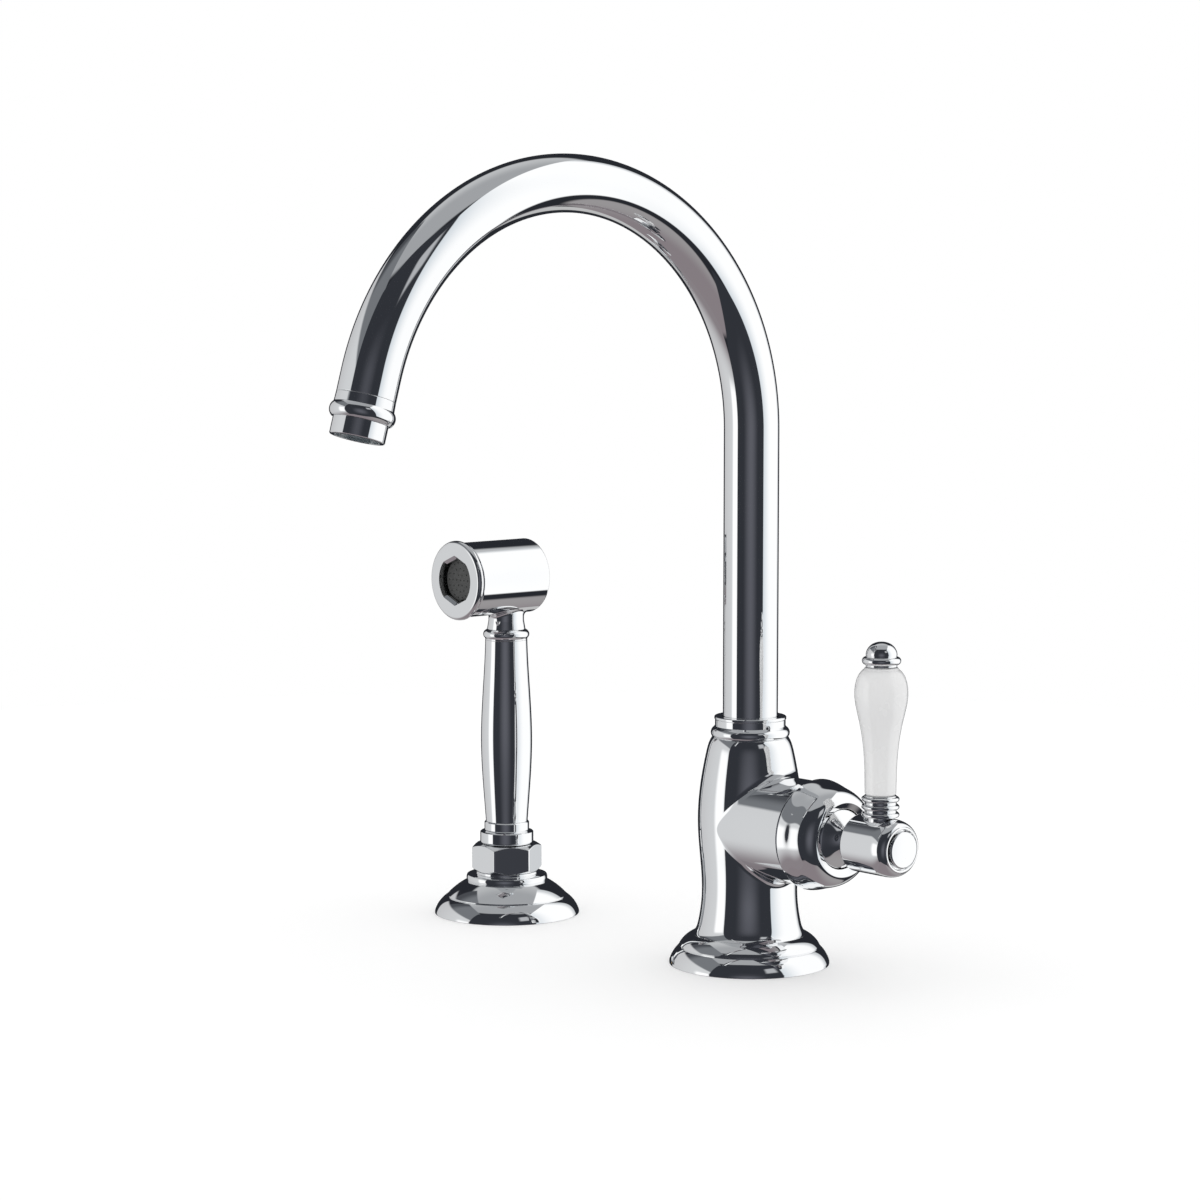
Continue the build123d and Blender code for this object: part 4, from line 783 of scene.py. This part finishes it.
mounted(grip, "lever", porcelain, "white_porcelain", "porcelain_handle")

finial = turned("polished_finial", outline(
    (2.32, 138.4), line_to(6.6, 138.4), line_to(6.6, 139.3), line_to(7.1, 139.3), bulge_to(1.1, 7.1, 142.4),
    line_to(6.45, 142.4), line_to(6.6, 143.4),
    curve_to((4.667, 147.248), (0.0, 148.8), leaving=(0.0, 1.0), arriving=(-1.0, 0.0)),
    line_to(0.0, 143.42), line_to(2.32, 143.42)), grip_place)
mounted(finial, "lever", chrome, "chrome_plate", "finial")

# ---- Holder of the hand spray ----------------------------------------------------------------------
# A stepped flange like the body's, with a hexagon guide nut screwed down on it; both are plated brass.
# The nut was tightened with a spanner, so its flats came to rest a little out of line.
spray_x, spray_y = -158.5, -7.5
stand = placed((spray_x, spray_y, 0.0), (0, 0, 1), (1, 0, 0))
holder = turned("polished_spray_flange", outline(
    (12.52, 0.0), line_to(26.1, 0.0), line_to(26.1, 1.5), line_to(31.1, 1.5), line_to(31.1, 0.0),
    line_to(34.0, 0.0), line_to(34.0, 0.8), bulge_to(0.8, 28.6, 8.1), line_to(27.9, 8.2), line_to(28.0, 8.7),
    bulge_to(0.45, 19.6, 15.2), line_to(18.7, 15.4), bulge_to(0.35, 18.7, 18.4), line_to(18.3, 18.5),
    line_to(14.6, 18.8), line_to(14.6, 20.0), line_to(12.52, 20.0)), stand)
mounted(holder, "root", chrome, "chrome_plate", "spray_flange")


def hexagon_nut(flat_half, low, high, bore, seat_r, seat_top, turn):
    """A hexagon nut with eased edges, its corners turned down at both ends to a cone."""
    corner_r = flat_half / math.cos(math.pi / 6)
    drop = 0.75 * (corner_r - flat_half)
    ease = 0.45
    angles, facing = [], []
    for k in range(6):
        middle = math.radians(60 * k)
        for t in np.linspace(-1.0, 1.0, 15):
            angles.append(middle + t * (math.pi / 6 - ease / corner_r))
            facing.append(middle)
        for t in (0.25, 0.5, 0.75):
            angles.append(middle + math.pi / 6 + (2 * t - 1) * ease / corner_r)
            facing.append(middle + t * math.pi / 3)
    angles, facing = np.array(angles + angles[:1]), np.array(facing + facing[:1])
    angles[-1] += 2 * math.pi
    facing[-1] += 2 * math.pi
    beside = np.abs((angles + math.pi / 6) % (math.pi / 3) - math.pi / 6)
    reach = flat_half / np.cos(beside)
    round_in = np.clip(1 - (math.pi / 6 - beside) / (ease / corner_r), 0.0, 1.0)
    reach -= 0.16 * round_in ** 2
    wall = np.stack((np.cos(facing), np.sin(facing), np.zeros_like(facing)), axis=1)
    out = np.stack((np.cos(angles), np.sin(angles), np.zeros_like(angles)), axis=1)
    slope = drop / (corner_r + 0.1 - 0.98 * flat_half)
    lean = math.atan(1 / slope)
    rows, normals = [], []

    def row(r, z, n):
        r = np.broadcast_to(r, angles.shape)
        z = np.broadcast_to(z, angles.shape)
        rows.append(np.stack((r * np.cos(angles), r * np.sin(angles), z), axis=1))
        normals.append(n / np.linalg.norm(n, axis=1)[:, None])

    def end(z_end, side):
        up = np.array((0.0, 0.0, float(side)))
        cone = math.cos(lean) * out + math.sin(lean) * up
        inner = 0.98 * flat_half
        shoulder = z_end - side * slope * (reach - inner)
        soft = 0.22
        made = []
        for t in np.linspace(0.0, 1.0, 6):
            n = (1 - t) * wall + t * cone
            back = soft * 0.28 * 4 * t * (1 - t)
            r = reach - soft * t - back * 0.5
            z = shoulder - side * soft * (1 - t) + side * slope * soft * t * 0.5 - side * back * 0.2
            made.append((r, z, n))
        for t in np.linspace(0.0, 1.0, 5)[1:]:
            r = (reach - soft) * (1 - t) + (inner + 0.15) * t
            made.append((r, z_end - side * slope * (r - inner), cone))
        made.append((inner, z_end - side * 0.02, 0.5 * cone + 0.5 * up))
        made.append((inner - 0.2, z_end, np.repeat(up[None], len(angles), axis=0)))
        return made

    top, foot = end(high, 1), end(low, -1)
    for r, z, n in foot[::-1] + top:
        row(r, z, n)
    flat_up = np.repeat([[0.0, 0.0, 1.0]], len(angles), axis=0)
    row(bore + 0.25, high, flat_up)
    row(bore + 0.07, high - 0.07, flat_up - out)
    row(bore, high - 0.25, -out)
    row(bore, seat_top + 0.01, -out)
    row(bore, seat_top, -out)
    row(bore + 0.01, seat_top, -flat_up)
    row(seat_r - 0.01, seat_top, -flat_up)
    row(seat_r, seat_top - 0.01, -out)
    row(seat_r, low + 0.01, -out)
    row(seat_r + 0.01, low, -flat_up)
    row(foot[-1][0], low, -flat_up)
    place = placed((spray_x, spray_y, 0.0), (0, 0, 1), (math.cos(turn), math.sin(turn), 0))
    return skin("polished_holder_hex", [(np.array(rows), np.array(normals))], place)[0]


nut = hexagon_nut(14.4, 20.0, 33.0, 9.8, 12.52, 31.42, math.radians(29.5))
mounted(nut, "root", chrome, "chrome_plate", "holder_hex")

# ---- Grip of the hand spray ------------------------------------------------------------------------
# Hollow turned grip that swells to its middle, between a stepped collar that sits in the guide nut
# and a beaded ring under the head; all three are plated brass and screwed together.
collar = turned("polished_grip_collar", outline(
    (6.55, 33.1), line_to(11.6, 33.1), bulge_to(0.32, 12.5, 34.5), line_to(12.5, 38.6), line_to(12.0, 39.0),
    line_to(10.1, 39.0), line_to(10.5, 39.7), line_to(10.5, 43.1), line_to(10.1, 43.6), line_to(7.88, 43.6),
    line_to(7.88, 41.7), line_to(6.55, 41.7)), stand)
mounted(collar, "spray", chrome, "chrome_plate", "grip_collar")
grip = turned("polished_spray_grip", outline(
    (7.9, 43.6), line_to(9.8, 43.6), curve_to((12.0, 82.0), (9.85, 129.5), leaving=(0.07, 1.0),
                                              arriving=(-0.02, 1.0), steps=24), line_to(7.9, 129.5)), stand)
mounted(grip, "spray", chrome, "chrome_plate", "spray_grip")
neck = turned("polished_neck_ring", outline(
    (5.2, 125.5), line_to(7.88, 125.5), line_to(7.88, 129.5), line_to(9.85, 129.5), line_to(9.9, 130.3),
    bulge_to(0.9, 9.9, 133.9), line_to(9.0, 134.5), line_to(5.2, 134.5)), stand)
mounted(neck, "spray", chrome, "chrome_plate", "neck_ring")

# ---- Head of the hand spray ------------------------------------------------------------------------
# Hollow brass drum lying on a short flared neck, cast in one, machined and plated. The face ring is
# screwed into its front, and the thumb button comes out of its back.
head_axis = 159.0
head = placed((spray_x, spray_y, head_axis), (0, -1, 0), (0, 0, -1))
drum_r, drum_back, drum_front = 17.3, -11.7, 26.4
neck_r, neck_low, neck_roll = 8.3, 19.8, 2.5
drum_skin, rim_angles, stub_angles = rolled_saddle(
    outline((drum_r, drum_back), line_to(drum_r, drum_front, 60), closed=False),
    neck_r, 0.0, neck_low, neck_roll, across=108, rows=30)
drum_rest = outline(
    (drum_r, drum_front), bulge_to(0.351, 16.1, 27.6), line_to(14.5, 27.6), line_to(14.5, -9.8),
    line_to(10.6, -9.8), line_to(10.6, -2.6), line_to(8.05, -2.6), line_to(8.05, -12.6), line_to(16.4, -12.6),
    bulge_to(0.264, drum_r, drum_back), closed=False)
neck_rest = outline(
    (neck_r, neck_low), line_to(neck_r, 20.4), line_to(9.0, 24.5), line_to(4.62, 24.5), line_to(4.62, 14.8),
    line_to(0.0, 14.8), soft=0.3, closed=False)
shell, known = skin("polished_head_shell", [
    drum_skin, spun(drum_rest, rim_angles), about_stub(spun(neck_rest, stub_angles), 0.0)], head)
mounted(shell, "spray", chrome, "chrome_plate", "head_shell")

# ---- Face of the hand spray ------------------------------------------------------------------------
# Plated ring with a flat face; two bevelled tabs in its hole take the key that tightens it. Behind it
# sits a moulded rubber disc with fine nozzles.
face_place = placed((spray_x, spray_y, head_axis), (0, -1, 0), (1, 0, 0))
face_front = 30.8
face, known = skin("polished_face_ring", [spun(outline(
    (12.42, 19.0), line_to(14.48, 19.0), line_to(14.48, 27.6), line_to(16.6, 27.6), line_to(16.6, 28.2),
    line_to(18.1, 28.2), line_to(18.4, 28.5), line_to(18.4, 28.9), bulge_to(0.551, 16.5, face_front),
    line_to(11.5, face_front), line_to(11.5, 24.6), line_to(12.42, 24.6)))], face_place)


def key_tab(first):
    """One tab: a quarter ring with a flat-sided, bevelled inner edge."""
    turn = np.radians(first + np.linspace(0.0, 90.0, 31))
    eighth = turn % (math.pi / 4) - math.pi / 8
    tip_r, root_r, back = 10.2, np.full_like(turn, 11.8), 28.2
    inner = tip_r * math.cos(math.pi / 8) / np.cos(eighth)
    rows = [(root_r, back), (inner, back), (inner, 29.5), (inner * 11.7 / tip_r, face_front),
            (root_r, face_front), (root_r, back)]
    surface = np.array([np.stack((r * np.cos(turn), r * np.sin(turn), np.full_like(turn, z)), axis=1)
                        for r, z in rows])
    sides = [surface[::-1]]
    for end in (surface[:, 0], surface[:, -1]):
        sides.append(end)
    return sides


for first in (45.0, 225.0):
    sides = key_tab(first)
    made = bmesh.new()
    grid = [[made.verts.new(face_place @ Vector(p / 1000)) for p in row] for row in sides[0][:-1]]
    rows = len(grid)
    for i in range(rows):
        for j in range(len(grid[0]) - 1):
            made.faces.new((grid[i][j], grid[i][j + 1], grid[(i + 1) % rows][j + 1], grid[(i + 1) % rows][j]))
    made.faces.new([row[0] for row in grid])
    made.faces.new([row[-1] for row in reversed(grid)])
    bmesh.ops.recalc_face_normals(made, faces=made.faces)
    mesh = bpy.data.meshes.new("key_tab")
    made.to_mesh(mesh)
    made.free()
    tab = bpy.data.objects.new("key_tab", mesh)
    bpy.context.scene.collection.objects.link(tab)
    carved(face, known, tab, "UNION")
mounted(face, "spray", chrome, "chrome_plate", "face_ring")

dark_rubber, shader, grain, spread, tint, relief = finish_named("grey_rubber")
tint(grain(200.0), shader.inputs["Base Color"], (0.055, 0.056, 0.056), (0.072, 0.073, 0.072))
spread(grain(600.0), shader.inputs["Roughness"], 0.5, 0.68)
relief(grain(2600.0, 2.0), shader.inputs["Normal"], 0.00002, 0.4)
coated(dark_rubber, "spray_disc")

# ---- Thumb button ----------------------------------------------------------------------------------
# Crowned plated button at the back of the head, with an O-ring in its groove.
button = turned("polished_thumb_button", outline(
    (0.0, -15.6), ball_to(23.23, 6.8, -15.0), bulge_to(0.35, 8.0, -14.0), line_to(8.0, -9.57),
    line_to(6.06, -9.57), line_to(6.06, -7.63), line_to(8.0, -7.63), line_to(8.0, -5.6), line_to(1.62, -5.6),
    line_to(1.62, -10.6), line_to(0.0, -10.6)), face_place)
mounted(button, "button", chrome, "chrome_plate", "thumb_button")
